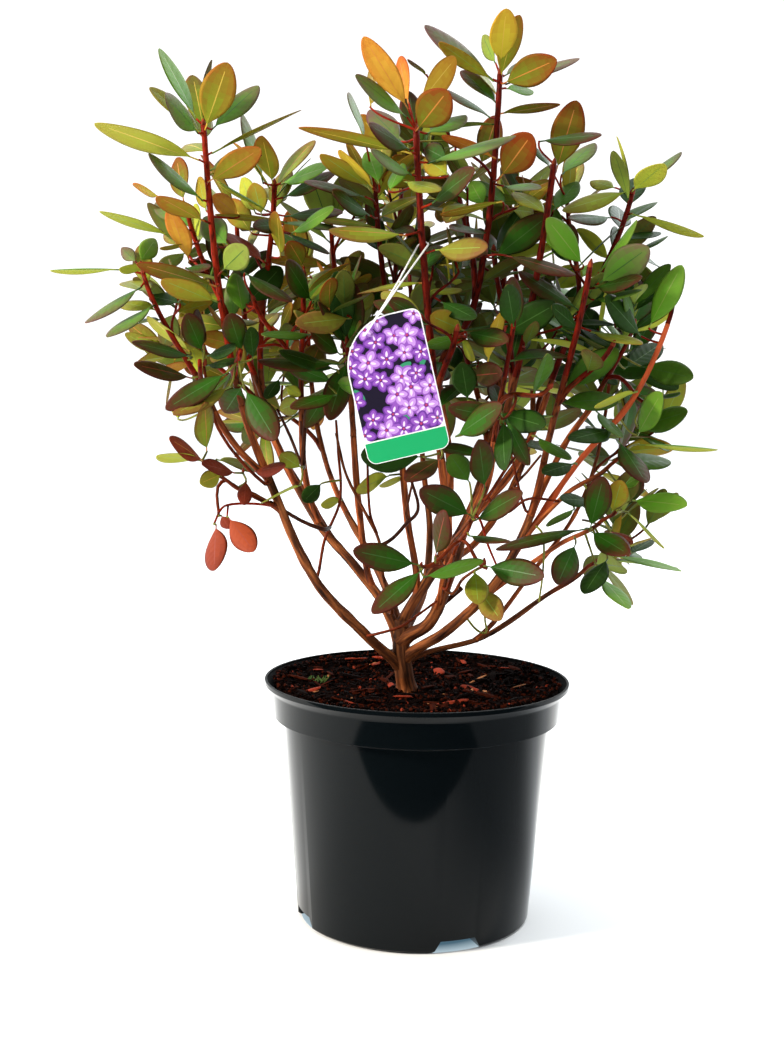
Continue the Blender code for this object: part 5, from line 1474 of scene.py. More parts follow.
def bark_relief(limb, reach, angle):
    """How much the bark swells a limb there: peeling strips, ridges, a fine grain and knots."""
    around = Vector((math.cos(angle), math.sin(angle), 0))
    strip = noise.noise(around * 1.7 + Vector((0, 0, reach * 35 + 13 * limb)))
    ridge = 0.5 - abs(noise.noise(around * 3.5 + Vector((5, 0, reach * 60 + 7 * limb))))
    grain = noise.noise(around * 9 + Vector((0, 9, reach * 200 + 5 * limb)))
    knot = max(0, noise.noise(Vector((limb * 3.1, 0, reach * 38))) - 0.25)
    return 1 + 0.09 * strip + 0.12 * ridge + 0.03 * grain + 0.5 * knot


def make_bark(paths):
    """The trunk and boughs, each sunk in the limb that bears it."""
    materials = [
        grained_material(name, stops[1][1], 0.75, 0.15, BARK_GRAIN, (0.55, 0.85), (0.6, 0.8 * MM), stops)
        for name, stops in BARKS
    ]
    ruddy = grained_material("ruddy_bark", (180, 80, 46), 0.6, 0.1, RUDDY_GRAIN, (0.5, 0.75), (0.5, 0.6 * MM))
    materials.insert(RUDDY_BARK, ruddy)
    boughs = {bough.name: bough for bough in BOUGHS}
    builder = Builder()
    for n, (name, path) in enumerate(paths.items()):
        bough = boughs.get(name)

        def radius_at(ring, angle):
            share = path.reach[ring] / path.length
            radius = bough_radius(bough, share) if bough else trunk_radius(share)
            return radius * bark_relief(n, path.reach[ring], angle)

        def place_at(ring):
            reach = path.reach[ring]
            if not bough:
                return TRUNK_BARK if reach > ROOT_SHARE * path.length else OLD_BARK
            if name == "right_arch":
                return RUDDY_BARK
            return OLD_BARK if bough.parent == "trunk" and reach <= OLD_SHARE * path.length else YOUNG_BARK

        add_tube(builder, path, radius_at, BOUGH_SIDES if bough else TRUNK_SIDES, place_at)
    builder.piece("limbs", materials, "bark", ["trunk"] + [f"bough_{name}" for name in boughs])


# Pot


def revolve(profile, steps):
    """The vertices and faces of a profile of (radius, height) turned round the Z axis. A point on the axis
    becomes one vertex."""
    verts = []
    rings = []
    for radius, height in profile:
        if radius == 0:
            rings.append([len(verts)] * steps)
            verts.append((0, 0, height))
            continue
        rings.append(list(range(len(verts), len(verts) + steps)))
        for k in range(steps):
            verts.append((*round_point((0, 0), radius, 2 * math.pi * k / steps), height))
    faces = []
    for inner, outer in zip(rings, rings[1:]):
        for k in range(steps):
            after = (k + 1) % steps
            faces.append(tuple(dict.fromkeys((inner[k], outer[k], outer[after], inner[after]))))
    return verts, faces


def round_point(middle, radius, angle):
    return middle[0] + radius * math.cos(angle), middle[1] + radius * math.sin(angle)


def pot_profile():
    """From the axis along the inside floor, up the inner wall, over the rim, down the outside and back."""
    inside = (
        (0, WALL),
        (BASE_RADIUS - WALL, WALL),
        (BODY_TOP[0] - WALL, BODY_TOP[1] + WALL),
        (COLLAR_FOOT[0] - WALL, COLLAR_FOOT[1] + WALL),
        (COLLAR_TOP[0] - WALL, COLLAR_TOP[1] + WALL),
        (RIM_RADIUS - WALL, POT_HEIGHT - RIM_HEIGHT / 2),
        (RIM_RADIUS - WALL, POT_HEIGHT),
    )
    outside = (
        (RIM_RADIUS, POT_HEIGHT),
        (RIM_RADIUS, POT_HEIGHT - RIM_HEIGHT),
        (COLLAR_TOP[0] + WALL / 2, COLLAR_TOP[1] + WALL),
        COLLAR_TOP,
        COLLAR_FOOT,
        BODY_TOP,
        (BASE_RADIUS + BASE_ROUNDING / 4, BASE_ROUNDING),
        (BASE_RADIUS - BASE_ROUNDING, 0),
        (0, 0),
    )
    return inside + outside


def cutter(name, bm):
    """An object with the mesh of the given bmesh, which cuts or joins another."""
    bmesh.ops.recalc_face_normals(bm, faces=bm.faces)
    mesh = bpy.data.meshes.new(name)
    bm.to_mesh(mesh)
    bm.free()
    return add_object(name, mesh)


def foot_block(name, wall, turn):
    bm = bmesh.new()
    bmesh.ops.create_cube(bm, size=1)
    for vert in bm.verts:
        above = vert.co.z > 0
        width = POCKET_ROOF_WIDTH if above else POCKET_WIDTH
        vert.co.x = BASE_RADIUS + math.copysign(POCKET_DEPTH + wall, vert.co.x)
        vert.co.y *= width + 2 * wall
        vert.co.z = POCKET_HEIGHT + wall if above else -POCKET_HEIGHT / 2
    block = cutter(name, bm)
    block.rotation_euler.z = turn
    return block


def disc(name, radius, low, high, steps):
    bm = bmesh.new()
    bmesh.ops.create_cone(bm, cap_ends=True, segments=steps, radius1=radius, radius2=radius, depth=high - low)
    bmesh.ops.translate(bm, verts=bm.verts, vec=(0, 0, (low + high) / 2))
    return cutter(name, bm)


def add_boolean(obj, operation, operand):
    boolean = obj.modifiers.new(operation.lower(), "BOOLEAN")
    boolean.operation = operation
    boolean.object = operand


PLASTIC, PLASTIC_INSIDE, PLASTIC_RIM = range(3)
POT_MATERIALS = (
    ("black_plastic", (15, 19, 21), 0.12, 0.14, {"scale": 45, "detail": 8}, (0.06, 0.13)),
    # painted shade: the inside wall is nearly black, darker than the outside plastic, and matte
    ("black_plastic_inside", (4, 4, 4), 0.8, 0.04, {"scale": 80, "detail": 6}, (0.7, 0.9)),
    ("black_plastic_rim", (30, 31, 31), 0.55, 0.06, {"scale": 300, "detail": 5}, (0.45, 0.65)),
)
POT_BEVEL = 0.5 * MM
BEVEL_ANGLE = math.radians(28)
SHARP_ANGLE = math.radians(32)
DRAIN_STEPS = 24


def make_pot():
    materials = [grained_material(*row) for row in POT_MATERIALS]
    plastic = materials[PLASTIC]
    add_bump(plastic, noise_over(plastic, 16, detail=2), 0.05, 2 * MM)
    verts, faces = revolve(pot_profile(), ROUND_STEPS)
    mesh = bpy.data.meshes.new("nursery_pot")
    mesh.from_pydata(verts, [], faces)
    mesh.materials.append(plastic)
    pot = add_object("nursery_pot", mesh)
    roof_top = POCKET_HEIGHT + WALL
    helpers = [disc("pot_inside", BASE_RADIUS - WALL / 2, WALL / 2, roof_top, ROUND_STEPS)]
    hollows = []
    for i in range(POCKET_COUNT):
        turn = POCKET_TURN + 2 * math.pi * i / POCKET_COUNT
        block = foot_block(f"pocket_block_{i}", WALL, turn)
        add_boolean(block, "INTERSECT", helpers[0])
        add_boolean(pot, "UNION", block)
        drain = disc(f"drain_{i}", DRAIN_RADIUS, POCKET_HEIGHT / 2, 2 * roof_top, DRAIN_STEPS)
        drain.location = (*round_point((0, 0), BASE_RADIUS - POCKET_DEPTH / 2, turn), 0)
        hollows += [foot_block(f"pocket_{i}", 0, turn), drain]
        helpers.append(block)
    for hollow in hollows:
        add_boolean(pot, "DIFFERENCE", hollow)
    bevel = pot.modifiers.new("bevel", "BEVEL")
    bevel.width = POT_BEVEL
    bevel.segments = 3
    bevel.limit_method = "ANGLE"
    bevel.angle_limit = BEVEL_ANGLE
    mesh = evaluated_mesh(pot)
    pot.modifiers.clear()
    pot.data = mesh
    for helper in helpers + hollows:
        bpy.data.objects.remove(helper)
    mesh.polygons.foreach_set("use_smooth", [True] * len(mesh.polygons))
    mesh.set_sharp_from_angle(angle=SHARP_ANGLE)
    for material in materials[1:]:
        mesh.materials.append(material)
    for face in mesh.polygons:
        middle = face.center
        if middle.z > POT_HEIGHT - RIM_HEIGHT / 4:
            face.material_index = PLASTIC_RIM
        # the inside wall above the compost's floor takes the darker plastic: painted shade
        elif middle.z > COMPOST_FLOOR and middle.x * face.normal.x + middle.y * face.normal.y < 0:
            face.material_index = PLASTIC_INSIDE
    settle(pot, ("pot",))


# Compost

SURFACE_RINGS = 80
SURFACE_STEPS = 240
SOIL = ((0.4, (7, 4, 3)), (0.6, (22, 11, 7)), (0.78, (60, 30, 18)))
CHIP_MATERIALS = (
    ("chip_dark", (17, 8, 5), 0.9, 0.03), ("chip_brown", (54, 23, 13), 0.9, 0.03),
    ("chip_red", (128, 48, 30), 0.8, 0.08), ("chip_straw", (150, 98, 64), 0.8, 0.1),
    ("moss", (62, 84, 36), 0.8, 0.2),
)
MOSS = 4
CHIP_GRAIN = {"scale": 800, "detail": 5, "stretch": (1, 0.3, 1)}
CHIP_SHARES = (0.6, 0.97, 0.985)  # up to which the chips are dark, brown and red
CRUMB_SHARES = (0.7, 0.985, 0.998)
CHIP_REACH = 98 * MM
CRUMB_REACH = 104 * MM
EDGE_REACH = (98, 105.5)
EDGE_HEIGHT = 176 * MM
BIG_CHIP_REACH = 92 * MM

# Larger slivers of bark on the compost: place across and down the front view, length and width in
# millimetres, turn in degrees from straight away, and material
BIG_CHIPS = (
    (338, 667, 25, 5, 84, 2), (374, 666, 13, 8, 40, 2), (439, 677, 12, 9, 20, 2), (391, 688, 8, 6, 5, 2),
    (403, 702, 14, 6, 80, 2), (450, 706, 27, 6, 100, 2), (466, 678, 12, 6, 120, 1), (377, 672, 14, 4, 150, 2),
    (300, 690, 16, 8, 60, 1), (356, 694, 18, 6, 95, 1), (488, 700, 20, 6, 70, 1), (520, 680, 14, 5, 30, 1),
    (537, 673, 12, 3, 60, 2), (524, 693, 18, 2, 110, 3), (509, 698, 14, 1.8, 60, 3), (500, 672, 16, 4, 95, 1),
    (330, 681, 13, 5, 20, 1), (428, 692, 12, 7, 130, 1), (470, 692, 16, 5, 50, 2), (415, 712, 15, 5, 90, 1),
    (345, 708, 14, 4, 60, 2), (385, 662, 12, 5, 70, 1), (480, 663, 11, 4, 20, 2), (312, 700, 12, 2, 130, 3),
)
SPRIG = (318, 687)  # of moss, in the front view
SPRIG_NEEDLES = 14
SPRIG_SPACING = 1.1 * MM


def compost_height(x, y):
    """Lumpy, and banked up a little against the pot's wall."""
    place = Vector((x, y, 0))
    lumps = noise.noise(place * 60) * 2.4
    clods = (0.5 - abs(noise.noise(place * 170 + Vector((7, 3, 1))))) * 3.4
    crumbs = noise.noise(place * 520)
    share = math.hypot(x, y) / COMPOST_RADIUS
    fade = min(1, 8 * (1.02 - share))
    return COMPOST_TOP + BANK * share**4 + (lumps + clods + crumbs) * MM * fade


def make_compost():
    soil = grained_material(
        "compost_soil", (24, 12, 8), 0.95, 0.02, {"scale": 500, "detail": 8}, relief=(0.8, MM), stops=SOIL
    )
    rings = [(COMPOST_RADIUS * ring / SURFACE_RINGS, None) for ring in range(1, SURFACE_RINGS + 1)]
    rings += [
        (COLLAR_FOOT[0] - WALL, COLLAR_FOOT[1] + WALL),
        (BODY_TOP[0] - WALL - GAP, BODY_TOP[1]),
        (BASE_RADIUS - WALL, COMPOST_FLOOR),
    ]
    verts = [(0, 0, compost_height(0, 0))]
    for radius, height in rings:
        for k in range(SURFACE_STEPS):
            x, y = round_point((0, 0), radius, 2 * math.pi * k / SURFACE_STEPS)
            verts.append((x, y, height or compost_height(x, y)))
    faces = [(0, 1 + k, 1 + (k + 1) % SURFACE_STEPS) for k in range(SURFACE_STEPS)]
    faces += ring_faces(len(rings), SURFACE_STEPS, first=1)
    faces.append(tuple(range(len(verts) - 1, len(verts) - SURFACE_STEPS - 1, -1)))
    builder = Builder()
    builder.add(verts, faces, [0] * len(faces))
    builder.piece("compost_bed", (soil,), "compost", ("compost",))
    make_chips()


def random_spin(dice):
    return Matrix.Rotation(dice.uniform(0, 6), 4, (dice.random(), dice.random(), 1))


def random_tilt(about_x, about_y, dice):
    tilt = Matrix.Rotation(dice.uniform(-about_x, about_x), 4, "X")
    return tilt @ Matrix.Rotation(dice.uniform(-about_y, about_y), 4, "Y")


def make_chips():
    """Chips and crumbs on the compost, crumbs against the pot, the larger slivers and a sprig of moss."""
    builder = Builder()
    dice = random.Random("chips")
    for _ in range(CHIP_COUNT):
        radius = CHIP_REACH * math.sqrt(dice.random())
        x, y = round_point((0, 0), radius, dice.uniform(0, 2 * math.pi))
        size = dice.random() ** 2
        length = (5 + 15 * size) * MM
        wide = (1.2 + 2.2 * size) * MM * dice.uniform(0.6, 1.2)
        thick = wide * dice.uniform(0.3, 0.6)
        place = bisect(CHIP_SHARES, dice.random())
        turn = Matrix.Rotation(dice.uniform(0, 2 * math.pi), 4, "Z")
        foot = Matrix.Translation((x, y, compost_height(x, y) + thick * 0.5))
        chip(builder, foot @ turn @ random_tilt(0.35, 0.5, dice), length, wide, thick, place, dice)
    for _ in range(CRUMB_COUNT):
        radius = CRUMB_REACH * math.sqrt(dice.random())
        x, y = round_point((0, 0), radius, dice.uniform(0, 2 * math.pi))
        size = dice.uniform(0.6, 2.0) * MM
        place = bisect(CRUMB_SHARES, dice.random())
        crumb(builder, (x, y, compost_height(x, y) + size * 0.4), random_spin(dice), size, place, dice)
    for _ in range(EDGE_CRUMBS):
        radius = dice.uniform(*EDGE_REACH) * MM
        x, y = round_point((0, 0), radius, dice.uniform(0, 2 * math.pi))
        size = dice.uniform(0.8, 2.2) * MM
        foot = (x, y, max(compost_height(x, y), EDGE_HEIGHT) + size * 0.4)
        crumb(builder, foot, random_spin(dice), size, dice.choice((0, 0, 0, 1)), dice)
    for across, down, length, wide, turn, place in BIG_CHIPS:
        x, y, _ = on_ray(across, down, 2, COMPOST_TOP)
        outwards = max(1, math.hypot(x, y) / BIG_CHIP_REACH)
        x, y = x / outwards, y / outwards
        foot = Matrix.Translation((x, y, compost_height(x, y) + wide * 0.3 * MM))
        turned = foot @ Matrix.Rotation(math.radians(turn), 4, "Z") @ random_tilt(0.2, 0.4, dice)
        chip(builder, turned, length * MM, wide * MM / 2, wide * 0.2 * MM, place, dice, rings=7, sides=7)
    x, y, _ = on_ray(*SPRIG, 2, COMPOST_TOP)
    height = compost_height(x, y) + 2 * MM
    for k in range(SPRIG_NEEDLES):
        foot = Matrix.Translation((x + (k - SPRIG_NEEDLES / 2) * SPRIG_SPACING, y, height))
        turned = foot @ Matrix.Rotation(dice.uniform(-1, 1), 4, "Z")
        turned = turned @ Matrix.Rotation(dice.uniform(0.2, 0.9), 4, "X")
        chip(builder, turned, 7 * MM, 0.5 * MM, 0.4 * MM, MOSS, dice)
    materials = [grained_material(*row, CHIP_GRAIN, relief=(0.6, 0.6 * MM)) for row in CHIP_MATERIALS]
    builder.piece("compost_chips", materials, "compost", smooth=False)


def crumb(builder, foot, spin, size, place, dice):
    turned = Matrix.Translation(foot) @ spin
    chip(builder, turned, size * 1.6, size, size * 0.8, place, dice, rings=3, sides=4)


def chip(builder, turned, length, wide, thick, place, dice, rings=4, sides=5):
    """A sliver of bark: a flattened, uneven prism along Y."""
    verts = []
    for ring in range(rings):
        share = ring / (rings - 1)
        taper = (0.55 + 0.45 * math.sin(math.pi * share)) * dice.uniform(0.8, 1.15)
        for k in range(sides):
            angle = 2 * math.pi * k / sides
            x = wide * taper * math.cos(angle) * dice.uniform(0.85, 1.1)
            z = thick * taper * math.sin(angle) * dice.uniform(0.8, 1.1)
            verts.append(turned @ Vector((x, (share - 0.5) * length + dice.uniform(-0.06, 0.06) * length, z)))
    faces = closed_faces(rings, sides)
    builder.add(verts, faces, [place] * len(faces))


# Tag

TAG_STEPS = 12
TAG_BORDER = 0.8 * MM
TAG_BAND = -32 * MM
PRINT = 0.05 * MM  # the step in which the depths below are given
# Depths under the tag's face, of the prints' foot, the white plate, the ground, the leaves and the petals
PRINT_DEPTH = 5
PLATE_DEPTH = 4
GROUND_DEPTH = 3.4
LEAF_DEPTH = 2.9
PETAL_DEPTH = 2.7
# How much each petal and flower lies over the last, and a flower's heart over its petals
PETAL_RISE = 0.02
FLOWER_RISE = 0.06
HEART_RISE = 0.6
HEART_SHARE = 0.1  # of its flower's reach
LEAF_SHARE = 0.22  # half a printed leaf's width, of its reach
# Material and colour of each print
TAG_PRINTS = (
    ("border", (246, 244, 246)), ("dark", (30, 22, 44)), ("band", (18, 160, 96)), ("violet", (104, 50, 148)),
    ("lilac", (140, 80, 178)), ("pale", (188, 140, 214)), ("white", (232, 206, 242)),
    ("heart", (176, 56, 110)), ("leaf", (52, 140, 100)),
)
BORDER_PRINT, DARK_PRINT, BAND_PRINT, VIOLET_PRINT, _, _, WHITE_PRINT, HEART_PRINT, LEAF_PRINT = range(9)
# Printed leaves: place across and up from the tag's middle in millimetres, angle and reach
TAG_LEAVES = (
    (3, 8, 0.4, 12), (-20, -6, 2.1, 11), (1, -14, 5.2, 10), (20, 8, 1.2, 10), (-14, 26, 2.6, 9),
    (19, -22, 5.6, 9),
)
# Coats of a petal, from its rim inwards: share of its reach, half width, start, lift and material
PETAL_COATS = (
    (1, 0.4, 0.12, 0, VIOLET_PRINT),
    (0.88, 0.26, 0.2, 0.3, VIOLET_PRINT + 1),
    (0.6, 0.09, 0.3, 0.5, WHITE_PRINT),
)
PETALS = 5
HEART_STEPS = 10


def tag_placing():
    """The tag's turn and place: its width along local X, its height along local Y, its back along -Z."""
    stand = Matrix.Rotation(math.pi / 2, 4, "X")
    turn = Matrix.Rotation(TAG_TURN, 4, "Z") @ Matrix.Rotation(TAG_TILT, 4, "Y")
    return Matrix.Translation(TAG_MIDDLE) @ turn @ stand


def tag_outline(inset, low=-TAG_SIZE[1] / 2):
    """The tag's outline drawn in by the inset, from the given height up. Its top left corner is widely
    rounded."""
    half_width = TAG_SIZE[0] / 2 - inset
    high = TAG_SIZE[1] / 2 - inset
    low += inset
    foot = max(TAG_CORNER - inset, 0.5 * MM)
    corners = (
        (1, high, TAG_CORNER - inset), (-1, high, TAG_SHOULDER - inset), (-1, low, foot), (1, low, foot),
    )
    outline = []
    for i, (side, end, rounding) in enumerate(corners):
        middle = (side * (half_width - rounding), end - math.copysign(rounding, 1 if i < 2 else -1))
        for k in range(TAG_STEPS + 1):
            outline.append(round_point(middle, rounding, math.pi / 2 * (i + k / TAG_STEPS)))
    return outline


def card(builder, outline, low, high, place):
    """A flat plate from the outline, between two heights over the tag's middle sheet."""
    if len(outline) < 3:
        return
    verts = [(x, y, height) for height in (low, high) for x, y in outline]
    faces = closed_faces(2, len(outline), outward=True)
    builder.add(verts, faces, [place] * len(faces))


def clipped(points, outline):
    """The part of a print's outline that lies inside the convex panel, whose outline runs anticlockwise."""
    for (ax, ay), (bx, by) in zip(outline, outline[1:] + outline[:1]):
        kept = []
        for (px, py), (qx, qy) in zip(points, points[1:] + points[:1]):
            p_side = (bx - ax) * (py - ay) - (by - ay) * (px - ax)
            q_side = (bx - ax) * (qy - ay) - (by - ay) * (qx - ax)
            if p_side >= 0:
                kept.append((px, py))
            if (p_side >= 0) != (q_side >= 0):
                share = p_side / (p_side - q_side)
                kept.append((px + (qx - px) * share, py + (qy - py) * share))
        points = kept
        if len(points) < 3:
            return []
    return points


def petal(middle, angle, reach, half, waist=0.12, steps=9):
    """A rounded petal's outline, from the flower's middle outwards."""
    points = []
    for side in (1, -1):
        for k in range(steps):
            share = k / (steps - 1) if side > 0 else 1 - k / (steps - 1)
            along = reach * (waist + (1 - waist) * share)
            across = side * half * math.sin(math.pi * min(share * 0.86 + 0.1, 1)) ** 0.7
            points.append((
                middle[0] + along * math.cos(angle) - across * math.sin(angle),
                middle[1] + along * math.sin(angle) + across * math.cos(angle),
            ))
    return points


def tag_flowers(dice):
    """The tag's flowers: place across and up from its middle, reach, turn and shade, in millimetres."""
    flowers = []
    for row in range(7):
        for column in range(5):
            across = -24 + 12 * column + 5 * (row % 2) + dice.uniform(-2.5, 2.5)
            up = -28 + 11.5 * row + dice.uniform(-2.5, 2.5)
            if dice.random() < 0.84:
                reach, turn = dice.uniform(6.5, 9.5), dice.uniform(0, 1.2)
                flowers.append((across, up, reach, turn, dice.random() < 0.5))
    dice.shuffle(flowers)
    return flowers


def make_tag():
    materials = [
        grained_material(f"tag_{name}", colour, 0.34, 0.4, {"scale": 60, "detail": 2}, (0.28, 0.42))
        for name, colour in TAG_PRINTS
    ]
    builder = Builder()
    face = TAG_THICKNESS / 2
    bottom = face - PRINT_DEPTH * PRINT
    ground = face - GROUND_DEPTH * PRINT
    tag_body(builder, -face, face - PLATE_DEPTH * PRINT)
    panel = tag_outline(TAG_BORDER, TAG_BAND)
    inset = TAG_BORDER * 0.6
    half = TAG_SIZE[0] / 2 - inset
    foot = tag_outline(inset)[-2 * TAG_STEPS - 2:]
    card(builder, foot + [(half, TAG_BAND), (-half, TAG_BAND)], bottom, ground, BAND_PRINT)
    card(builder, panel, bottom, ground, DARK_PRINT)
    dice = random.Random("tag")
    for x, y, angle, reach in TAG_LEAVES:
        blade = petal((x * MM, y * MM), angle, reach * MM, reach * LEAF_SHARE * MM)
        card(builder, clipped(blade, panel), bottom, face - LEAF_DEPTH * PRINT, LEAF_PRINT)
    for n, (x, y, reach, turn, shade) in enumerate(tag_flowers(dice)):
        middle = (x * MM, y * MM)
        for k in range(PETALS):
            angle = turn + 2 * math.pi * k / PETALS + dice.uniform(-0.12, 0.12)
            long = reach * MM * dice.uniform(0.85, 1.1)
            top = face - (PETAL_DEPTH - PETAL_RISE * k - FLOWER_RISE * n) * PRINT
            for share, half, waist, lift, place in PETAL_COATS:
                coat = clipped(petal(middle, angle, long * share, long * half, waist), panel)
                lighter = shade if place < WHITE_PRINT else 0
                card(builder, coat, bottom, top + lift * PRINT, place + lighter)
        heart = []
        for k in range(HEART_STEPS):
            heart.append(round_point(middle, reach * HEART_SHARE * MM, 2 * math.pi * k / HEART_STEPS))
        card(builder, clipped(heart, panel), bottom, top + HEART_RISE * PRINT, HEART_PRINT)
    placing = tag_placing()
    builder.verts = [tuple(placing @ Vector(vert)) for vert in builder.verts]
    builder.piece("printed_tag", materials, "tag", ("tag",), smooth=False)


def tag_body(builder, low, high):
    """The white plate, bridged between its outline and the hole's rim."""
    outline = tag_outline(0)
    count = len(outline)
    hole = []
    for x, y in outline:
        angle = math.atan2(y - TAG_HOLE[1], x - TAG_HOLE[0])
        hole.append(round_point(TAG_HOLE, TAG_HOLE_RADIUS, angle))
    verts = [(x, y, height) for height in (low, high) for x, y in outline + hole]
    faces = []
    for k in range(count):
        after = (k + 1) % count
        faces.append((k, count + k, count + after, after))
        faces.append((2 * count + k, 2 * count + after, 3 * count + after, 3 * count + k))
        faces.append((k, after, 2 * count + after, 2 * count + k))
        faces.append((count + k, 3 * count + k, 3 * count + after, count + after))
    builder.add(verts, faces, [BORDER_PRINT] * len(faces))


def loop_places(stem_path):
    """The loop's closed line: round the stem at its top and through the tag's hole at its foot."""
    stem, stem_along = stem_path.at(LOOP_STEM_SHARE)
    placing = tag_placing()
    hole = placing @ Vector((*TAG_HOLE, 0))
    normal = placing.to_3x3() @ Vector((0, 0, 1))
    rise = stem - hole
    rise = (rise - normal * rise.dot(normal)).normalized()
    above = hole + rise * LOOP_HANG
    over = (above - stem).cross(stem_along).normalized()
    if over.dot(normal) < 0:
        over = -over
    stem_half = LOOP_STEM_WIDTH / math.sqrt(3) + LOOP_RADIUS + GAP
    tag_half = TAG_THICKNESS / 2 + LOOP_RADIUS + GAP
    drop = smooth_path([stem, above], above - stem, -rise, LOOP_SPACING)
    line = Path([*drop.points, hole + rise * tag_half])
    middles = []
    for point, reach in zip(line.points, line.reach):
        share = reach / line.length
        half = stem_half + (tag_half - stem_half) * share
        middles.append((point, over.lerp(normal, share).normalized() * half))
    turns = []
    for (middle, aside), way in ((middles[-1], -rise), (middles[0], (stem - above).normalized())):
        across = aside if way.dot(rise) < 0 else -aside
        turns.append([
            middle + across * math.cos(angle) + way * aside.length * math.sin(angle)
            for angle in (math.pi / 8 * k for k in range(1, 8))
        ])
    front = [middle + aside for middle, aside in middles]
    back = [middle - aside for middle, aside in reversed(middles)]
    return front + turns[0] + back + turns[1]


def make_loop(stem_path):
    places = loop_places(stem_path)
    curve = bpy.data.curves.new("loop_curve", "CURVE")
    curve.dimensions = "3D"
    curve.bevel_depth = LOOP_RADIUS
    curve.bevel_resolution = 3
    spline = curve.splines.new("POLY")
    spline.points.add(len(places) - 1)
    spline.use_cyclic_u = True
    for point, place in zip(spline.points, places):
        point.co = (*place, 1)
    guide = add_object("loop_guide", curve)
    mesh = evaluated_mesh(guide)
    bpy.data.objects.remove(guide)
    mesh.materials.clear()
    white = grained_material("loop_plastic", (240, 240, 238), 0.4, 0.4, {"scale": 200}, (0.34, 0.46))
    mesh.materials.append(white)
    mesh.polygons.foreach_set("use_smooth", [True] * len(mesh.polygons))
    settle(add_object("white_loop", mesh), ("tag_loop",))


# Stage

STAGE_REACH = 12
DARK_FRONT = -6
DARK_SIDE = 4
DARK_EDGE = -0.218  # where the painted reflection that the pot mirrors turns from a dark sheet to light
DIM_SIDE = 1.5
DIM_BACK = 0.2
MIRRORED_HEIGHT = 0.5 * MM
DIM_FADES = (("X", 0, 0.2), ("Y", 0.18, 0))
SKY = (0.93, 0.97, 1)
FOOT_SHADE_RADIUS = 84 * MM
FOOT_SHADE_FROM = 70 * MM
FOOT_SHADES = ((0, (76, 104, 120)), (1, (178, 198, 208)))
LIGHT_FROM_ABOVE = 0.7
LIGHT_IN_FRONT = 0.28
LIGHT_BEHIND = 1.9
LIGHT_TARGET = Vector((0, 0, 0.35))
LAMPS = (
    ("key", (-2.8, -1.2, 1.8), 0.6, 170, (1, 0.92, 0.8)),
    ("back", (1.8, 2.4, 2.4), 1.6, 70, (0.92, 0.97, 1)),
)


def make_stage():
    """A white floor and surround, brighter behind the plant, with soft lamps. The pot mirrors painted
    reflections, sheets that only its reflections see: a dark one in front of it and a glowing glare at its
    right."""
    white = new_material("floor_white", (236, 236, 236), 0.9, 0)
    stage_plane("floor", (-STAGE_REACH, -STAGE_REACH), (STAGE_REACH, STAGE_REACH), 0, white)
    # Painted reflections: sheets that only the pot's reflections see, a dark one in front and a glowing glare
    # at its right
    dark = new_material("dark_reflection_sheet", (8, 9, 9), 0.9, 0)
    reflection_sheets = (
        stage_plane("dark_reflection_sheet", (-DARK_SIDE, DARK_FRONT), (DARK_SIDE, DARK_EDGE), MIRRORED_HEIGHT, dark),
        stage_plane("glare_reflection_sheet", (0, DARK_EDGE), (DIM_SIDE, DIM_BACK), MIRRORED_HEIGHT, glare_reflection_material()),
    )
    for ground in reflection_sheets:
        ground.visible_camera = False
        ground.visible_diffuse = False
        ground.visible_shadow = False
    shade = disc("foot_shade", FOOT_SHADE_RADIUS, 0.05 * MM, 0.15 * MM, 64)
    shade.data.materials.append(foot_material())
    make_surround()
    for name, place, size, power, colour in LAMPS:
        data = bpy.data.lights.new(name, "AREA")
        data.energy = power
        data.size = size
        data.color = colour
        lamp = add_object(name, data)
        lamp.location = place
        lamp.rotation_euler = (LIGHT_TARGET - Vector(place)).to_track_quat("-Z", "Y").to_euler()


def stage_plane(name, low, high, height, material):
    corners = ((low[0], low[1]), (high[0], low[1]), (high[0], high[1]), (low[0], high[1]))
    mesh = bpy.data.meshes.new(name)
    mesh.from_pydata([(x, y, height) for x, y in corners], [], [(0, 1, 2, 3)])
    mesh.materials.append(material)
    plane = add_object(name, mesh)
    return plane


def make_surround():
    """White to the camera. To everything else, dim in front and bright behind and above."""
    world = bpy.data.worlds.new("studio")
    bpy.context.scene.world = world
    world.use_nodes = True
    split = add_node(world, "ShaderNodeSeparateXYZ")
    link(world, add_node(world, "ShaderNodeTexCoord").outputs["Generated"], split.inputs["Vector"])
    height = arithmetic(world, "MULTIPLY_ADD", split.outputs["Z"], LIGHT_FROM_ABOVE, split.outputs["Y"])
    spread = add_node(
        world, "ShaderNodeMapRange", interpolation_type="SMOOTHSTEP", From_Min=-0.8, From_Max=1,
        To_Min=LIGHT_IN_FRONT, To_Max=LIGHT_BEHIND,
    )
    link(world, height, spread.inputs["Value"])
    dim = world.node_tree.nodes["Background"]
    dim.inputs["Color"].default_value = (*SKY, 1)
    link(world, spread.outputs["Result"], dim.inputs["Strength"])
    white = add_node(world, "ShaderNodeBackground", Color=(1, 1, 1, 1), Strength=1.2)
    choice = add_node(world, "ShaderNodeMixShader")
    link(world, add_node(world, "ShaderNodeLightPath").outputs["Is Camera Ray"], choice.inputs["Fac"])
    link(world, dim.outputs["Background"], choice.inputs[1])
    link(world, white.outputs["Background"], choice.inputs[2])
    link(world, choice.outputs["Shader"], world.node_tree.nodes["World Output"].inputs["Surface"])


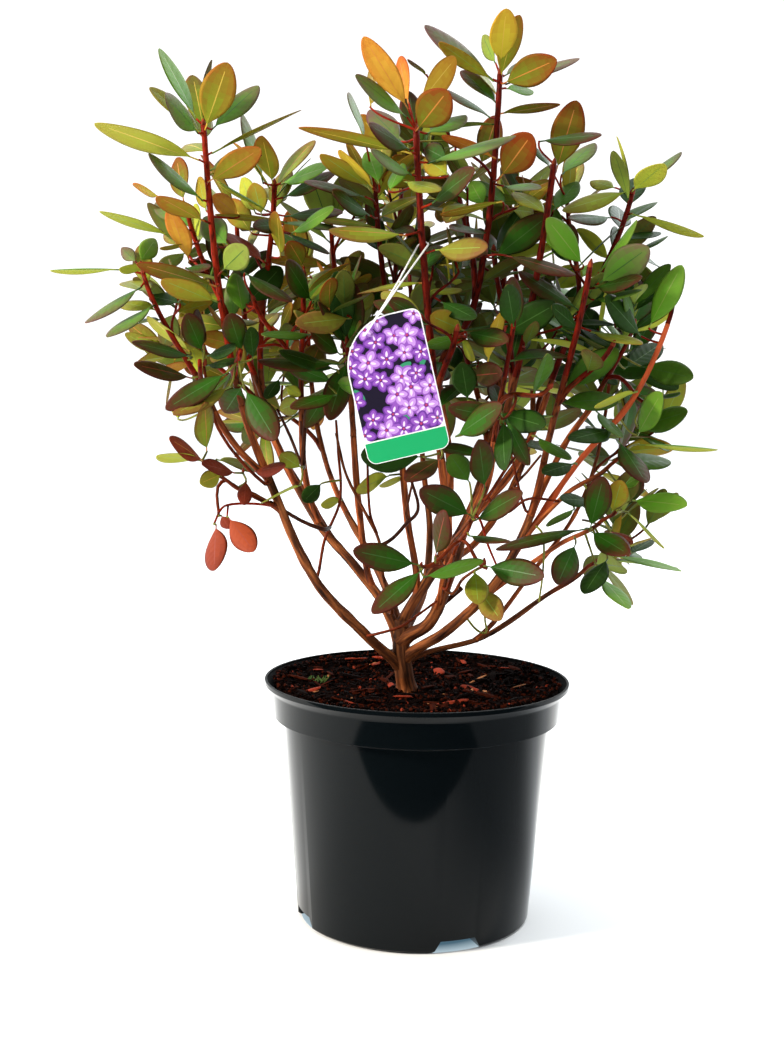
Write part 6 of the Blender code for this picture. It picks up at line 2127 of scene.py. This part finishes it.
def glowing_material(name, strength):
    material = new_material(name, (0, 0, 0), 1, 0)
    material.node_tree.nodes["Principled BSDF"].inputs["Emission Strength"].default_value = strength
    return material


def foot_material():
    """The floor under the pot: bluish shade that fades towards the pot's edge."""
    material = glowing_material("foot_shade", 1)
    distance = add_node(material, "ShaderNodeVectorMath", operation="LENGTH")
    link(material, add_node(material, "ShaderNodeTexCoord").outputs["Object"], distance.inputs[0])
    fade = add_node(material, "ShaderNodeMapRange", From_Min=FOOT_SHADE_FROM, From_Max=FOOT_SHADE_RADIUS)
    link(material, distance.outputs["Value"], fade.inputs["Value"])
    link_shader(material, colour_ramp(material, fade.outputs["Result"], FOOT_SHADES), "Emission Color")
    return material


def glare_reflection_material():
    """Painted glare for the pot's reflections: a glowing sheet that fades to the right and towards the front.
    """
    material = glowing_material("glare_reflection_sheet", 0.5)
    material.node_tree.nodes["Principled BSDF"].inputs["Emission Color"].default_value = (*SKY, 1)
    split = add_node(material, "ShaderNodeSeparateXYZ")
    link(material, add_node(material, "ShaderNodeTexCoord").outputs["Object"], split.inputs["Vector"])
    fades = []
    for axis, start, end in DIM_FADES:
        fade = add_node(
            material, "ShaderNodeMapRange", interpolation_type="SMOOTHSTEP", From_Min=start, From_Max=end
        )
        link(material, split.outputs[axis], fade.inputs["Value"])
        fades.append(fade.outputs["Result"])
    link_shader(material, arithmetic(material, "MULTIPLY", *fades), "Alpha")
    return material


def make_camera():
    data = bpy.data.cameras.new("camera")
    data.lens = CAMERA_LENS
    data.sensor_width = SENSOR
    camera = add_object("camera", data)
    right, over, forward = VIEW_AXES
    turn = Matrix((right, over, -forward)).transposed().to_4x4()
    camera.matrix_world = Matrix.Translation(CAMERA_PLACE) @ turn
    bpy.context.scene.camera = camera


make_camera()
make_stage()
bpy.context.scene.view_settings.view_transform = "Standard"
limb_paths, shoot_paths = grow_paths()
all_leaves, fine_twigs = grow_leaves(limb_paths, shoot_paths)
print(f"{len(all_leaves)} leaves, {len(fine_twigs)} fine twigs")
make_leaves(all_leaves)
make_twigs(limb_paths, shoot_paths, fine_twigs, all_leaves)
make_bark(limb_paths)
make_pot()
make_compost()
make_tag()
make_loop(shoot_paths["centre_front"][0])
